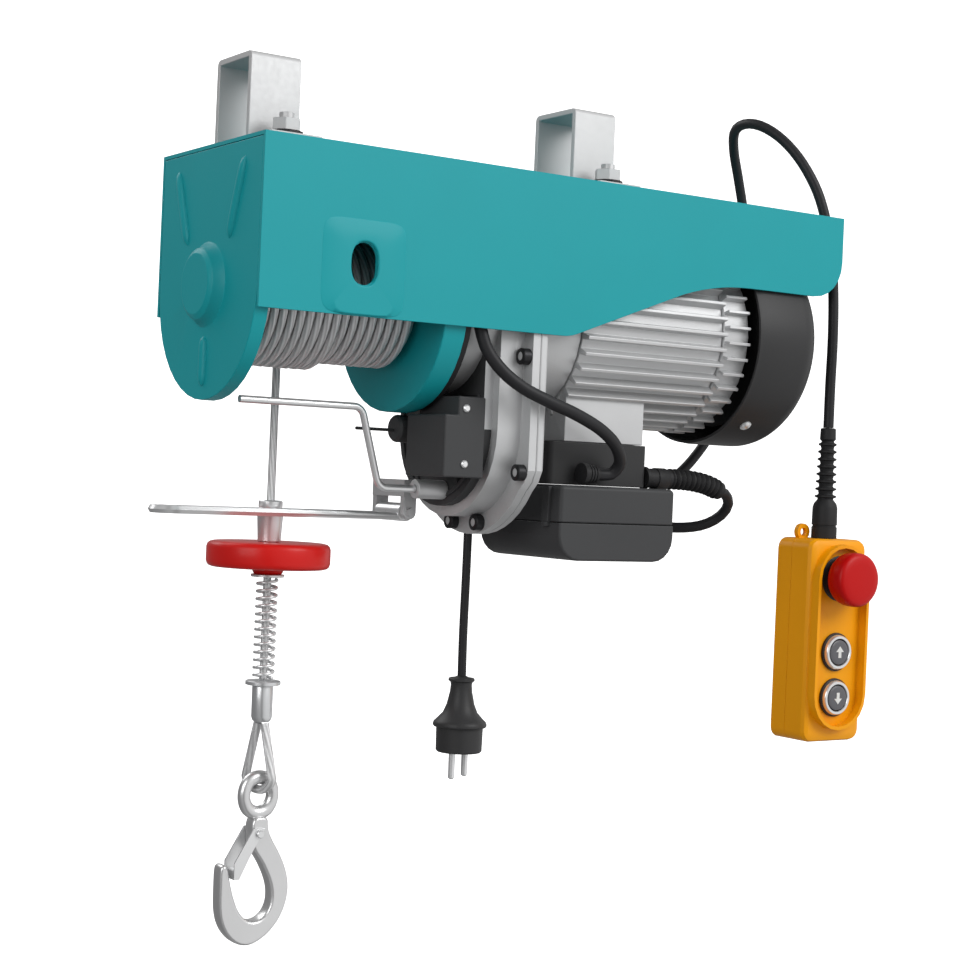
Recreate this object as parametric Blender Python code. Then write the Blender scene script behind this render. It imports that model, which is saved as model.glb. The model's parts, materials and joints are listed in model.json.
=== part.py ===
"""Electric wire rope hoist, as an assembly of separate pieces.

Metres, +Z up. +X runs along the drum's axis to the motor, -Y is the front.
The origin is the middle of the drum-side bracket's saddle, where it sits on the beam.
"""
import math

import bmesh
import bpy
from mathutils import Matrix, Vector

GAP = 0.0003  # clearance left between pieces that touch

# Beam that the brackets clamp on: its size sets the saddles
BEAM = 0.040
BRACKET_X = (0.0, 0.2555)
STRAP_WIDTH, STRAP_THICK = 0.036, 0.004

# Pressed steel frame
FRAME_LEFT, FRAME_RIGHT = -0.031, 0.455
FRAME_TOP = -0.055
FRAME_HALF_WIDTH = 0.0735
SHEET = 0.0025
FLANGE_DEEP_Z = -0.1625
FLANGE_SHALLOW_Z = -0.1155

# Axes of the drum, the counter gear and the motor (all along X at y = 0)
DRUM_Z = -0.145
COUNTER_Z = -0.204
MOTOR_Z = -0.150

# Rope and drum
ROPE_RADIUS = 0.00275
DRUM_RADIUS = 0.039
FIRST_LAYER_RADIUS = 0.0445
SECOND_LAYER_RADIUS = 0.0495
DRUM_START, DRUM_END = -0.0265, 0.104
ROPE_X, ROPE_Y = 0.047, 0.0476

# Cheeks at the two ends of the drum
CHEEK_HALF_WIDTH = 0.0707
CHEEK_ARC_Z = -0.148
INNER_CHEEK_X = 0.107

# Gear train: teeth and module of each pair
MOTOR_TEETH, COUNTER_TEETH, FIRST_MODULE = 12, 60, 0.0015
PINION_TEETH, OUTPUT_TEETH, SECOND_MODULE = 13, 46, 0.002

# Gearbox, split at its double flange
GEARBOX_FACE = 0.151
FLANGE_SPLIT = 0.183
FLANGE_THICK = 0.006
GEARBOX_HALF_WIDTH = 0.0705
GEARBOX_ARC_Z = -0.228
GEARBOX_TOP = -0.060

# Motor
MOTOR_START, MOTOR_END = 0.2243, 0.349
FIN_COUNT = 38
FIN_ROOT, FIN_TIP = 0.063, 0.070
COWL_RADIUS, COWL_START, COWL_END = 0.078, 0.3733, 0.437

# Limit devices
ARM_PIVOT = (0.1455, ROPE_Y, -0.287)
ARM_ROD_RADIUS, ARM_HALF_GAP, ARM_ROD_Z = 0.003, 0.013, -0.290
ROD_RADIUS, ROD_Y, ROD_PIVOT_Z, ROD_TOP_Z = 0.0025, -0.008, -0.270, -0.2165

# Hook chain, top to bottom
SLEEVE_TOP, DISC_TOP, DISC_BOTTOM = -0.282, -0.3105, -0.3280
DISC_RADIUS = 0.0423
SPRING_TOP, SPRING_BOTTOM = -0.3346, -0.4050
SPRING_TURNS, SPRING_RADIUS, SPRING_WIRE = 13, 0.0066, 0.0011
FERRULE_BOTTOM = -0.4330
EYE_Z = -0.4832
THIMBLE_TURN = math.radians(-67.5)

# Pendant
PENDANT_X, PENDANT_Y = 0.459, -0.062
PENDANT_FRONT_Y, PENDANT_BACK_Y = -0.0795, -0.0395
PENDANT_TOP, PENDANT_BOTTOM = -0.295, -0.446
PENDANT_WIDTH = 0.057
PENDANT_SPLIT_Y = -0.0585
STOP_Z, UP_Z, DOWN_Z = -0.324, -0.379, -0.413
BUTTON_RADIUS = 0.011

# Cords: radius, then the points of the route, which a smooth curve passes through
PENDANT_CORD_RADIUS = 0.0039
PENDANT_CORD_ROUTE = (
    (0.3745, -0.0384, -0.2631), (0.3825, -0.0365, -0.2655), (0.3890, -0.0315, -0.2735),
    (0.3870, -0.0235, -0.2825), (0.3780, -0.0150, -0.2890), (0.3640, -0.0050, -0.2915),
    (0.3490, 0.0080, -0.2905), (0.3390, 0.0260, -0.2870), (0.3420, 0.0450, -0.2820),
    (0.3580, 0.0580, -0.2770), (0.3790, 0.0620, -0.2710), (0.4000, 0.0600, -0.2610),
    (0.4200, 0.0560, -0.2450), (0.4370, 0.0520, -0.2230), (0.4510, 0.0490, -0.1980),
    (0.4600, 0.0475, -0.1700), (0.4645, 0.0465, -0.1400), (0.4655, 0.0460, -0.1050),
    (0.4640, 0.0455, -0.0700), (0.4590, 0.0445, -0.0400), (0.4490, 0.0410, -0.0140),
    (0.4360, 0.0330, 0.0060), (0.4240, 0.0190, 0.0180), (0.4200, 0.0020, 0.0210),
    (0.4220, -0.0150, 0.0170), (0.4280, -0.0310, 0.0060), (0.4350, -0.0450, -0.0110),
    (0.4430, -0.0550, -0.0330), (0.4490, -0.0600, -0.0560), (0.4545, -0.0620, -0.0820),
    (0.4580, -0.0622, -0.1120), (0.4595, -0.0620, -0.1450), (0.4590, -0.0620, -0.1800),
    (0.4590, -0.0620, -0.2115),
)
POWER_CORD_RADIUS = 0.0031
POWER_CORD_ROUTE = (
    (0.1990, 0.0250, -0.2850), (0.1961, 0.0250, -0.2892), (0.1946, 0.0250, -0.2948),
    (0.1945, 0.0250, -0.3050), (0.1945, 0.0250, -0.3220), (0.1943, 0.0249, -0.3420),
    (0.1941, 0.0249, -0.3620), (0.1942, 0.0250, -0.3820), (0.1945, 0.0250, -0.4025),
)
LOOM_RADIUS = 0.0043
LOOM_ROUTE = (
    (0.1345, -0.0642, -0.1500), (0.1370, -0.0645, -0.1590), (0.1420, -0.0670, -0.1755),
    (0.1520, -0.0720, -0.1895), (0.1660, -0.0770, -0.2000), (0.1860, -0.0795, -0.2080),
    (0.2090, -0.0785, -0.2150), (0.2330, -0.0750, -0.2240), (0.2510, -0.0690, -0.2340),
    (0.2620, -0.0610, -0.2450), (0.2610, -0.0550, -0.2530), (0.2550, -0.0535, -0.2545),
    (0.2480, -0.0535, -0.2545),
)
PLUG_X, PLUG_Y, PLUG_TURN = 0.1945, 0.025, math.radians(28)


# ---------------------------------------------------------------- helpers

def clear_scene():
    for obj in list(bpy.data.objects):
        bpy.data.objects.remove(obj, do_unlink=True)


def material(name, colour, roughness, metallic):
    found = bpy.data.materials.get(name)
    if found:
        return found
    made = bpy.data.materials.new(name)
    made.use_nodes = True
    shader = made.node_tree.nodes["Principled BSDF"]
    shader.inputs["Base Color"].default_value = (*colour, 1.0)
    shader.inputs["Roughness"].default_value = roughness
    shader.inputs["Metallic"].default_value = metallic
    return made


def teal():
    return material("teal_paint", (0.03, 0.36, 0.40), 0.40, 0.1)


def alloy():
    return material("cast_alloy", (0.62, 0.63, 0.64), 0.45, 0.8)


def zinc():
    return material("zinc_steel", (0.72, 0.72, 0.72), 0.30, 1.0)


def steel():
    return material("machined_steel", (0.55, 0.55, 0.56), 0.35, 1.0)


def dark_plastic():
    return material("dark_plastic", (0.055, 0.055, 0.058), 0.55, 0.0)


def black_rubber():
    return material("black_rubber", (0.03, 0.03, 0.032), 0.65, 0.0)


def black_steel():
    return material("black_steel", (0.04, 0.04, 0.04), 0.45, 0.8)


def copper():
    return material("copper_winding", (0.60, 0.25, 0.10), 0.40, 0.9)


def yellow_plastic():
    return material("yellow_plastic", (0.90, 0.38, 0.02), 0.40, 0.0)


def red_plastic():
    return material("red_plastic", (0.55, 0.01, 0.01), 0.30, 0.0)


def red_paint():
    return material("red_paint", (0.55, 0.02, 0.02), 0.30, 0.0)


def finish(name, bm, look, pivot=(0.0, 0.0, 0.0)):
    """Make an object from a bmesh in world places, with its origin on the pivot."""
    bmesh.ops.recalc_face_normals(bm, faces=bm.faces)
    mesh = bpy.data.meshes.new(name)
    bm.to_mesh(mesh)
    bm.free()
    mesh.transform(Matrix.Translation(-Vector(pivot)))
    mesh.materials.append(look)
    mesh.shade_smooth()
    mesh.set_sharp_from_angle(angle=math.radians(35))
    obj = bpy.data.objects.new(name, mesh)
    obj.location = pivot
    bpy.context.scene.collection.objects.link(obj)
    return obj


def axis_place(axis, along, u, v):
    """A point from its place along an axis and its two cross coordinates."""
    if axis == "X":
        return Vector((along, u, v))
    if axis == "Y":
        return Vector((u, along, v))
    return Vector((u, v, along))


def arc(centre, radius, first, last, steps):
    """Points on an arc between two angles in degrees."""
    angles = [math.radians(first + (last - first) * i / steps) for i in range(steps + 1)]
    return [(centre[0] + radius * math.cos(a), centre[1] + radius * math.sin(a)) for a in angles]


def add_prism(bm, outline, axis, first, last):
    low = [bm.verts.new(axis_place(axis, first, u, v)) for u, v in outline]
    high = [bm.verts.new(axis_place(axis, last, u, v)) for u, v in outline]
    bm.faces.new(low)
    bm.faces.new(high)
    for i in range(len(outline)):
        j = (i + 1) % len(outline)
        bm.faces.new((low[i], low[j], high[j], high[i]))


def prism(name, look, outline, axis, first, last, pivot=(0.0, 0.0, 0.0)):
    bm = bmesh.new()
    add_prism(bm, outline, axis, first, last)
    return finish(name, bm, look, pivot)


def add_box(bm, low, high):
    outline = [(low[0], low[1]), (high[0], low[1]), (high[0], high[1]), (low[0], high[1])]
    add_prism(bm, outline, "Z", low[2], high[2])


def box(name, look, low, high, pivot=(0.0, 0.0, 0.0)):
    bm = bmesh.new()
    add_box(bm, low, high)
    return finish(name, bm, look, pivot)


def add_turned(bm, profile, place, segments):
    """Turn a closed profile of (along, radius) points about local Z, then place it by a matrix."""
    rings = []
    for along, radius in profile:
        if radius < 1e-9:
            rings.append([bm.verts.new(place @ Vector((0, 0, along)))])
            continue
        ring = []
        for i in range(segments):
            a = 2 * math.pi * i / segments
            ring.append(bm.verts.new(place @ Vector((radius * math.cos(a), radius * math.sin(a), along))))
        rings.append(ring)
    for ring, after in zip(rings, rings[1:] + rings[:1]):
        for i in range(segments):
            j = (i + 1) % segments
            corners = [ring[i % len(ring)], ring[j % len(ring)], after[j % len(after)], after[i % len(after)]]
            unique = list(dict.fromkeys(corners))
            if len(unique) > 2:
                bm.faces.new(unique)


def axis_matrix(axis, centre):
    """Matrix that lays local Z along a world axis through a centre."""
    turn = {
        "X": Matrix.Rotation(math.radians(90), 4, "Y"),
        "Y": Matrix.Rotation(math.radians(-90), 4, "X"),
        "Z": Matrix.Identity(4),
    }[axis]
    return Matrix.Translation(centre) @ turn


def turned(name, look, profile, axis, centre, segments=24, pivot=(0.0, 0.0, 0.0)):
    bm = bmesh.new()
    add_turned(bm, profile, axis_matrix(axis, centre), segments)
    return finish(name, bm, look, pivot)


def rod_profile(first, last, radius):
    return [(first, 0.0), (first, radius), (last, radius), (last, 0.0)]


def ring_profile(first, last, inner, outer):
    return [(first, inner), (first, outer), (last, outer), (last, inner)]


def cylinder(name, look, axis, centre, first, last, radius, segments=24, pivot=(0.0, 0.0, 0.0)):
    return turned(name, look, rod_profile(first, last, radius), axis, centre, segments, pivot)


def boolean(target, tool, operation):
    """Cut or join a hidden tool object into the target."""
    tool.hide_render = True
    tool.display_type = "WIRE"
    step = target.modifiers.new(tool.name, "BOOLEAN")
    step.operation = operation
    step.solver = "EXACT"
    step.object = tool


def cut(target, *tools):
    for tool in tools:
        boolean(target, tool, "DIFFERENCE")


def join(target, *tools):
    for tool in tools:
        boolean(target, tool, "UNION")


def ring_of_boxes(name, look, count, low, high, centre):
    """Equal boxes turned round a centre about X."""
    bm = bmesh.new()
    for k in range(count):
        done = len(bm.verts)
        add_box(bm, low, high)
        turn = Matrix.Translation(centre) @ Matrix.Rotation(2 * math.pi * k / count, 4, "X")
        bmesh.ops.transform(bm, matrix=turn, verts=list(bm.verts)[done:])
    return finish(name, bm, look)


def smooth_points(route, spacing):
    """Points at an even spacing on a Catmull-Rom curve through the route."""
    nodes = [Vector(p) for p in route]
    nodes = [2 * nodes[0] - nodes[1]] + nodes + [2 * nodes[-1] - nodes[-2]]
    fine = []
    for a, b, c, d in zip(nodes, nodes[1:], nodes[2:], nodes[3:]):
        for i in range(12):
            t = i / 12
            fine.append(0.5 * (2 * b + (c - a) * t + (2 * a - 5 * b + 4 * c - d) * t * t
                               + (3 * b - a - 3 * c + d) * t ** 3))
    fine.append(nodes[-2])
    lengths = [0.0]
    for a, b in zip(fine, fine[1:]):
        lengths.append(lengths[-1] + (b - a).length)
    count = max(3, round(lengths[-1] / spacing) + 1)
    points, k = [], 0
    for i in range(count):
        want = lengths[-1] * i / (count - 1)
        while k < len(fine) - 2 and lengths[k + 1] < want:
            k += 1
        share = (want - lengths[k]) / (lengths[k + 1] - lengths[k])
        points.append(fine[k].lerp(fine[k + 1], share))
    return points


def tube(name, look, points, radius, resolution=2, closed=False, pivot=(0.0, 0.0, 0.0)):
    curve = bpy.data.curves.new(name, "CURVE")
    curve.dimensions = "3D"
    curve.bevel_depth = radius
    curve.bevel_resolution = resolution
    curve.use_fill_caps = not closed
    spline = curve.splines.new("POLY")
    spline.points.add(len(points) - 1)
    for point, place in zip(spline.points, points):
        point.co = (*(Vector(place) - Vector(pivot)), 1.0)
    spline.use_cyclic_u = closed
    curve.materials.append(look)
    obj = bpy.data.objects.new(name, curve)
    obj.location = pivot
    bpy.context.scene.collection.objects.link(obj)
    return obj


def bent_wire(corners, bend_radius, steps=4):
    """A wire's centre line: straight runs with a round bend at each inner corner."""
    points = [Vector(corners[0])]
    for before, corner, after in zip(corners, corners[1:], corners[2:]):
        before, corner, after = Vector(before), Vector(corner), Vector(after)
        back, ahead = (before - corner).normalized(), (after - corner).normalized()
        half = back.angle(ahead) / 2
        reach = bend_radius / math.tan(half)
        centre = corner + (back + ahead).normalized() * bend_radius / math.sin(half)
        start, end = corner + back * reach - centre, corner + ahead * reach - centre
        for i in range(steps + 1):
            points.append(centre + start.lerp(end, i / steps).normalized() * bend_radius)
    points.append(Vector(corners[-1]))
    return points


def rounded_rectangle(low, high, radius, steps=3):
    corners = [
        ((high[0] - radius, high[1] - radius), 0), ((low[0] + radius, high[1] - radius), 90),
        ((low[0] + radius, low[1] + radius), 180), ((high[0] - radius, low[1] + radius), 270),
    ]
    return [p for centre, a in corners for p in arc(centre, radius, a, a + 90, steps)]


def loft(name, look, axis, sections):
    """Skin over outlines of equal point counts, each given with its place along the axis."""
    bm = bmesh.new()
    rows = [[bm.verts.new(axis_place(axis, along, u, v)) for u, v in outline] for along, outline in sections]
    bm.faces.new(rows[0])
    bm.faces.new(rows[-1])
    count = len(rows[0])
    for row, after in zip(rows, rows[1:]):
        for i in range(count):
            j = (i + 1) % count
            bm.faces.new((row[i], row[j], after[j], after[i]))
    return finish(name, bm, look)


# ---------------------------------------------------------------- frame

def frame_outline():
    """The flange's outline in X and Z: deep over the drum, swept up over the motor."""
    slope = 21.0
    sweep_radius, sweep_x = 0.200, 0.365
    knee_radius, corner_radius = 0.030, 0.027
    sweep = arc((sweep_x, FLANGE_SHALLOW_Z - sweep_radius), sweep_radius, 90 + slope, 90, 8)
    run = (sweep[0][1] - FLANGE_DEEP_Z) / math.tan(math.radians(slope))
    knee_x = sweep[0][0] - run - knee_radius * math.tan(math.radians(slope / 2))
    knee = arc((knee_x, FLANGE_DEEP_Z + knee_radius), knee_radius, -90, -90 + slope, 3)
    corner_centre = (FRAME_RIGHT - corner_radius, FLANGE_SHALLOW_Z + corner_radius)
    corner = arc(corner_centre, corner_radius, -90, 0, 6)
    top = [(FRAME_RIGHT, FRAME_TOP), (FRAME_LEFT, FRAME_TOP)]
    return [(FRAME_LEFT, FLANGE_DEEP_Z)] + knee + sweep + corner + top


def frame_channel():
    inner = FRAME_HALF_WIDTH - SHEET
    frame = prism("frame_channel", teal(), frame_outline(), "Y", -FRAME_HALF_WIDTH, FRAME_HALF_WIDTH)
    hollow = box("frame_hollow", teal(), (FRAME_LEFT - 0.01, -inner, FLANGE_DEEP_Z - 0.01),
                 (FRAME_RIGHT + 0.01, inner, FRAME_TOP - SHEET))
    hole_x, hole_z, hole_half_width, hole_half_run = 0.042, -0.1295, 0.0095, 0.004
    slot = (arc((hole_x, hole_z + hole_half_run), hole_half_width, 0, 180, 8)
            + arc((hole_x, hole_z - hole_half_run), hole_half_width, 180, 360, 8))
    oblong = prism("frame_oblong", teal(), slot, "Y", -FRAME_HALF_WIDTH - 0.005, -inner + 0.005)
    notch = box("frame_notch", teal(), (0.4425, -0.066, FRAME_TOP - 0.01),
                (FRAME_RIGHT + 0.01, -0.0540, FRAME_TOP + 0.01))
    bm = bmesh.new()
    for x, y in bracket_bolt_places():
        add_turned(bm, rod_profile(FRAME_TOP - 0.01, FRAME_TOP + 0.01, 0.0053),
                   Matrix.Translation((x, y, 0)), 12)
    holes = finish("frame_bolt_holes", bm, teal())
    cut(frame, hollow, oblong, notch, holes)


def cheek_outline(half_width, top):
    """A stamping with straight sides and a round bottom, in Y and Z."""
    low = arc((0.0, CHEEK_ARC_Z), half_width, 180, 360, 20)
    return [(-half_width, top)] + low + [(half_width, top)]


def cheek(name, start, length):
    top = FRAME_TOP - SHEET - GAP
    body = prism(name, teal(), cheek_outline(CHEEK_HALF_WIDTH, top), "X", start, start + length)
    hollow = prism(name + "_hollow", teal(), cheek_outline(CHEEK_HALF_WIDTH - SHEET, top - SHEET), "X",
                   start + SHEET, start + length + 0.01)
    cut(body, hollow)
    return body


def drum_end_cheek():
    body = cheek("drum_end_cheek", FRAME_LEFT, 0.0095)
    axis = (0.0, 0.0, DRUM_Z)
    dome = turned("cheek_dome", teal(), [
        (FRAME_LEFT - 0.0085, 0.0), (FRAME_LEFT - 0.0085, 0.0195), (FRAME_LEFT - 0.0065, 0.0228),
        (FRAME_LEFT - 0.0030, 0.0245), (FRAME_LEFT + 0.0008, 0.0280), (FRAME_LEFT + 0.0008, 0.0),
    ], "X", axis, 32)
    seat = cylinder("cheek_seat", teal(), "X", axis, FRAME_LEFT - 0.0055, FRAME_LEFT + 0.01, 0.0160)
    join(body, dome)
    cut(body, seat)


def inner_cheek():
    body = cheek("inner_cheek", INNER_CHEEK_X, 0.017)
    cut(body, cylinder("inner_cheek_hole", teal(), "X", (0, 0, DRUM_Z), 0.10, 0.13, 0.030))


def gasket_ring():
    start, end, half_width = 0.1243, 0.1290, 0.069
    body = prism("gasket_ring", black_rubber(), cheek_outline(half_width, -0.0600), "X", start, end)
    cut(body, cylinder("gasket_hole", black_rubber(), "X", (0, 0, DRUM_Z), 0.12, 0.14, 0.052, 32))


# ---------------------------------------------------------------- brackets

FOOT_REACH = 0.032
BOLT_Y = 0.041


def bracket_bolt_places():
    return [(x, side * BOLT_Y) for x in BRACKET_X for side in (-1, 1)]


def bracket_outline():
    """An inverted U with outward feet, in Y and Z; its saddle is at Z = 0."""
    inner = BEAM / 2 + GAP
    outer = inner + STRAP_THICK
    foot_low = FRAME_TOP + GAP
    foot_high = foot_low + STRAP_THICK
    reach = outer + FOOT_REACH
    crown = 0.004
    right = ([(outer - crown, STRAP_THICK)] + arc((outer - crown, STRAP_THICK - crown), crown, 90, 0, 3)[1:]
             + [(outer, foot_high), (reach, foot_high), (reach, foot_low), (inner, foot_low), (inner, 0.0)])
    left = [(-u, v) for u, v in reversed(right)]
    return right + left


def brackets():
    for name, x in zip(("drum_side_bracket", "motor_side_bracket"), BRACKET_X):
        body = prism(name, zinc(), bracket_outline(), "X", x - STRAP_WIDTH / 2, x + STRAP_WIDTH / 2)
        bm = bmesh.new()
        for side in (-1, 1):
            add_turned(bm, rod_profile(FRAME_TOP - 0.005, FRAME_TOP + 0.01, 0.0053),
                       Matrix.Translation((x, side * BOLT_Y, 0)), 12)
        cut(body, finish(name + "_holes", bm, zinc()))


def bracket_bolts():
    """Bolts up through the frame, each with its washer and nut on the bracket's foot."""
    washer_low = FRAME_TOP + GAP + STRAP_THICK + GAP
    nut_low = washer_low + 0.0022
    nut_high = nut_low + 0.0080
    under = FRAME_TOP - SHEET - GAP
    for k, (x, y) in enumerate(bracket_bolt_places()):
        shank, centre = 0.0049, (x, y, 0)
        bolt = turned(f"bracket_bolt_{k + 1}", zinc(), [
            (under - 0.0060, 0.0), (under - 0.0060, 0.0088), (under, 0.0088), (under, shank),
            (washer_low, shank),
            (washer_low, 0.0108), (nut_low + GAP, 0.0108), (nut_low + GAP, shank), (nut_high + 0.0040, shank),
            (nut_high + 0.0040, 0.0),
        ], "Z", centre, 10)
        join(bolt, cylinder(f"nut_{k + 1}", zinc(), "Z", centre, nut_low, nut_high, 0.0096, 6))


# ---------------------------------------------------------------- drum and rope

def drum_group():
    pivot = (0.0, 0.0, DRUM_Z)
    wall, web = 0.034, 0.017
    turned("rope_drum", steel(), [
        (DRUM_START, wall), (DRUM_START, 0.0505), (DRUM_START + SHEET, 0.0505),
        (DRUM_START + SHEET, DRUM_RADIUS),
        (DRUM_END, DRUM_RADIUS), (DRUM_END, wall), (0.050, wall), (0.050, web), (0.065, web), (0.065, 0.0103),
        (0.020, 0.0103), (0.020, web), (0.044, web), (0.044, wall),
    ], "X", pivot, 24, pivot)
    inner, start, step = DRUM_RADIUS + GAP, DRUM_START + SHEET + GAP, ROPE_X - ROPE_RADIUS - GAP
    turned("rope_winding", zinc(), [
        (start, inner), (start, SECOND_LAYER_RADIUS), (step, SECOND_LAYER_RADIUS), (step, FIRST_LAYER_RADIUS),
        (DRUM_END - 0.001, FIRST_LAYER_RADIUS), (DRUM_END - 0.001, inner),
    ], "X", pivot, 40, pivot)
    shaft = turned("drum_shaft", steel(), [
        (-0.0345, 0.0), (-0.0345, 0.0085), (-0.0225, 0.0085), (-0.0225, 0.0100), (0.1685, 0.0100),
        (0.1685, 0.0),
    ], "X", pivot, 20, pivot)
    join(shaft, prism("output_gear", steel(), gear_outline(OUTPUT_TEETH, SECOND_MODULE, (0, DRUM_Z), -90, True),
                      "X", 0.1602, 0.1680))


def hanging_rope():
    cylinder("hanging_rope", zinc(), "Z", (ROPE_X, ROPE_Y, 0), SPRING_BOTTOM + GAP, DRUM_Z, ROPE_RADIUS, 12)


# ---------------------------------------------------------------- gear train

def gear_outline(teeth, module, centre, mesh_angle, tooth_there):
    """Straight-flanked teeth; a tooth, or else a gap, is centred on the mesh angle in degrees."""
    pitch = 2 * math.pi / teeth
    start = math.radians(mesh_angle) + (0.0 if tooth_there else pitch / 2)
    root = module * (teeth / 2 - 1.20)
    tip = module * (teeth / 2 + 0.85)
    points = []
    for k in range(teeth):
        a = start + k * pitch
        for radius, offset in ((tip, -0.06), (tip, 0.06), (root, 0.50)):
            points.append((centre[0] + radius * math.cos(a + offset * pitch),
                           centre[1] + radius * math.sin(a + offset * pitch)))
    return points


def gear_train():
    counter, motor = (0, 0, COUNTER_Z), (0, 0, MOTOR_Z)
    shaft = cylinder("counter_shaft", steel(), "X", counter, 0.1557, 0.1830, 0.0080, 20, counter)
    join(shaft, prism("counter_pinion", steel(),
                      gear_outline(PINION_TEETH, SECOND_MODULE, (0, COUNTER_Z), 90, False), "X", 0.1600, 0.1706),
         prism("counter_gear", steel(),
               gear_outline(COUNTER_TEETH, FIRST_MODULE, (0, COUNTER_Z), 90, True), "X", 0.1705, 0.1765))
    rotor = cylinder("motor_rotor", steel(), "X", motor, 0.1780, 0.4240, 0.0090, 20, motor)
    join(rotor, prism("motor_pinion", steel(), gear_outline(MOTOR_TEETH, FIRST_MODULE, (0, MOTOR_Z), -90, False),
                      "X", 0.1695, 0.1790),
         cylinder("rotor_core", steel(), "X", motor, 0.2500, 0.3200, 0.0325, 24))


def drum_bearings():
    centre = (0, 0, DRUM_Z)
    turned("drum_end_bearing", steel(), ring_profile(-0.0362, -0.0262, 0.0088, 0.0157), "X", centre, 20)
    turned("drum_gearbox_bearing", steel(), ring_profile(0.1340, 0.1460, 0.0103, 0.0220), "X", centre, 20)


# ---------------------------------------------------------------- gearbox

def gearbox_outline(half_width, top):
    low = arc((0.0, GEARBOX_ARC_Z), half_width, 180, 360, 18)
    return [(-half_width, top)] + low + [(half_width, top)]


def flange_outline():
    """The flange's straight sides end in lugs for the lower bolts, and its bottom is round."""
    low = arc((0.0, -0.2270), 0.0730, -145, -35, 14)
    right = [(0.0665, -0.2625), (GEARBOX_HALF_WIDTH, -0.2545), (GEARBOX_HALF_WIDTH, GEARBOX_TOP)]
    return [(-y, z) for y, z in reversed(right)] + low + right


def gearbox_bolt_places():
    """Eight places round the flange, in Y and Z."""
    right = [(0.0645, -0.0750), (0.0645, -0.1780), (0.0640, -0.2560), (0.0160, -0.2915)]
    return right + [(-y, z) for y, z in right]


def gearbox_bolt_heads():
    bm = bmesh.new()
    face = FLANGE_SPLIT - FLANGE_THICK
    for y, z in gearbox_bolt_places():
        add_turned(bm, rod_profile(face - 0.0060, face + 0.0020, 0.0052), axis_matrix("X", (0, y, z)), 8)
    return finish("gearbox_bolt_heads", bm, black_steel())


def gearbox_cover():
    wall, half_width, nose_half_width, nose_end = 0.004, 0.0600, 0.0530, 0.1580
    cover = prism("gearbox_cover", alloy(), gearbox_outline(half_width, GEARBOX_TOP - 0.002), "X",
                  nose_end, FLANGE_SPLIT - 0.002)
    nose = prism("cover_nose", alloy(), gearbox_outline(nose_half_width, GEARBOX_TOP - 0.004), "X",
                 GEARBOX_FACE, nose_end + 0.002)
    flange = prism("cover_flange", alloy(), flange_outline(), "X", FLANGE_SPLIT - FLANGE_THICK, FLANGE_SPLIT)
    neck = cylinder("cover_neck", alloy(), "X", (0, 0, DRUM_Z), 0.1293, nose_end + 0.001, 0.0590, 34)
    hollow = prism("cover_hollow", alloy(), gearbox_outline(half_width - wall, GEARBOX_TOP - 0.002 - wall), "X",
                   nose_end + wall, FLANGE_SPLIT + 0.005)
    nose_hollow = prism("cover_nose_hollow", alloy(),
                        gearbox_outline(nose_half_width - wall, GEARBOX_TOP - 0.004 - wall), "X",
                        GEARBOX_FACE + wall, nose_end + wall + 0.001)
    bearing_seat = turned("cover_bearing_seat", alloy(), [
        (0.1250, 0.0), (0.1250, 0.0115), (0.1337, 0.0115), (0.1337, 0.0223), (0.1630, 0.0223), (0.1630, 0.0),
    ], "X", (0, 0, DRUM_Z), 22)
    boss = turned("cover_boss", alloy(), [
        (0.1540, 0.0), (0.1540, 0.0140), (0.1593, 0.0140), (0.1593, 0.0083), (0.1554, 0.0083), (0.1554, 0.0),
    ], "X", (0, 0, COUNTER_Z), 18)
    join(cover, nose, flange, neck)
    cut(cover, hollow, nose_hollow, bearing_seat)
    join(cover, boss, gearbox_bolt_heads())


def gearbox_housing():
    start = FLANGE_SPLIT + GAP
    centre = (0, 0, MOTOR_Z)
    housing = prism("gearbox_housing", alloy(), flange_outline(), "X", start, start + FLANGE_THICK)
    neck = cylinder("housing_neck", alloy(), "X", centre, start + 0.003, MOTOR_START - GAP, 0.0620, 32)
    hollow = turned("housing_hollow", alloy(), [
        (0.1750, 0.0), (0.1750, 0.0093), (0.1965, 0.0093), (0.1965, 0.0570), (0.2300, 0.0570), (0.2300, 0.0),
    ], "X", centre, 30)
    boss = turned("housing_boss", alloy(), [
        (0.1782, 0.0083), (0.1782, 0.0140), (0.1850, 0.0140), (0.1850, 0.0), (0.1834, 0.0), (0.1834, 0.0083),
    ], "X", (0, 0, COUNTER_Z), 18)
    join(housing, neck)
    cut(housing, hollow)
    join(housing, boss)


# ---------------------------------------------------------------- motor

def finned_outline(root, tip, count, centre_z):
    pitch = 2 * math.pi / count
    points = []
    for k in range(count):
        a = k * pitch
        for radius, offset in ((root, -0.20), (tip, -0.11), (tip, 0.11), (root, 0.20)):
            points.append((radius * math.cos(a + offset * pitch),
                           centre_z + radius * math.sin(a + offset * pitch)))
    return points


def motor_housing():
    centre = (0, 0, MOTOR_Z)
    body = prism("motor_housing", alloy(), finned_outline(FIN_ROOT, FIN_TIP, FIN_COUNT, MOTOR_Z), "X",
                 MOTOR_START, MOTOR_END)
    pad = box("motor_pad", alloy(), (0.2255, -0.0440, -0.2325), (0.2950, 0.0400, -0.1950))
    bore = cylinder("motor_bore", alloy(), "X", centre, MOTOR_START - 0.01, MOTOR_END + 0.01, 0.0545, 32)
    wire_hole = box("motor_wire_hole", alloy(), (0.2400, -0.0100, -0.2500), (0.2700, 0.0100, -0.1900))
    join(body, pad)
    cut(body, bore, wire_hole)


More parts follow.
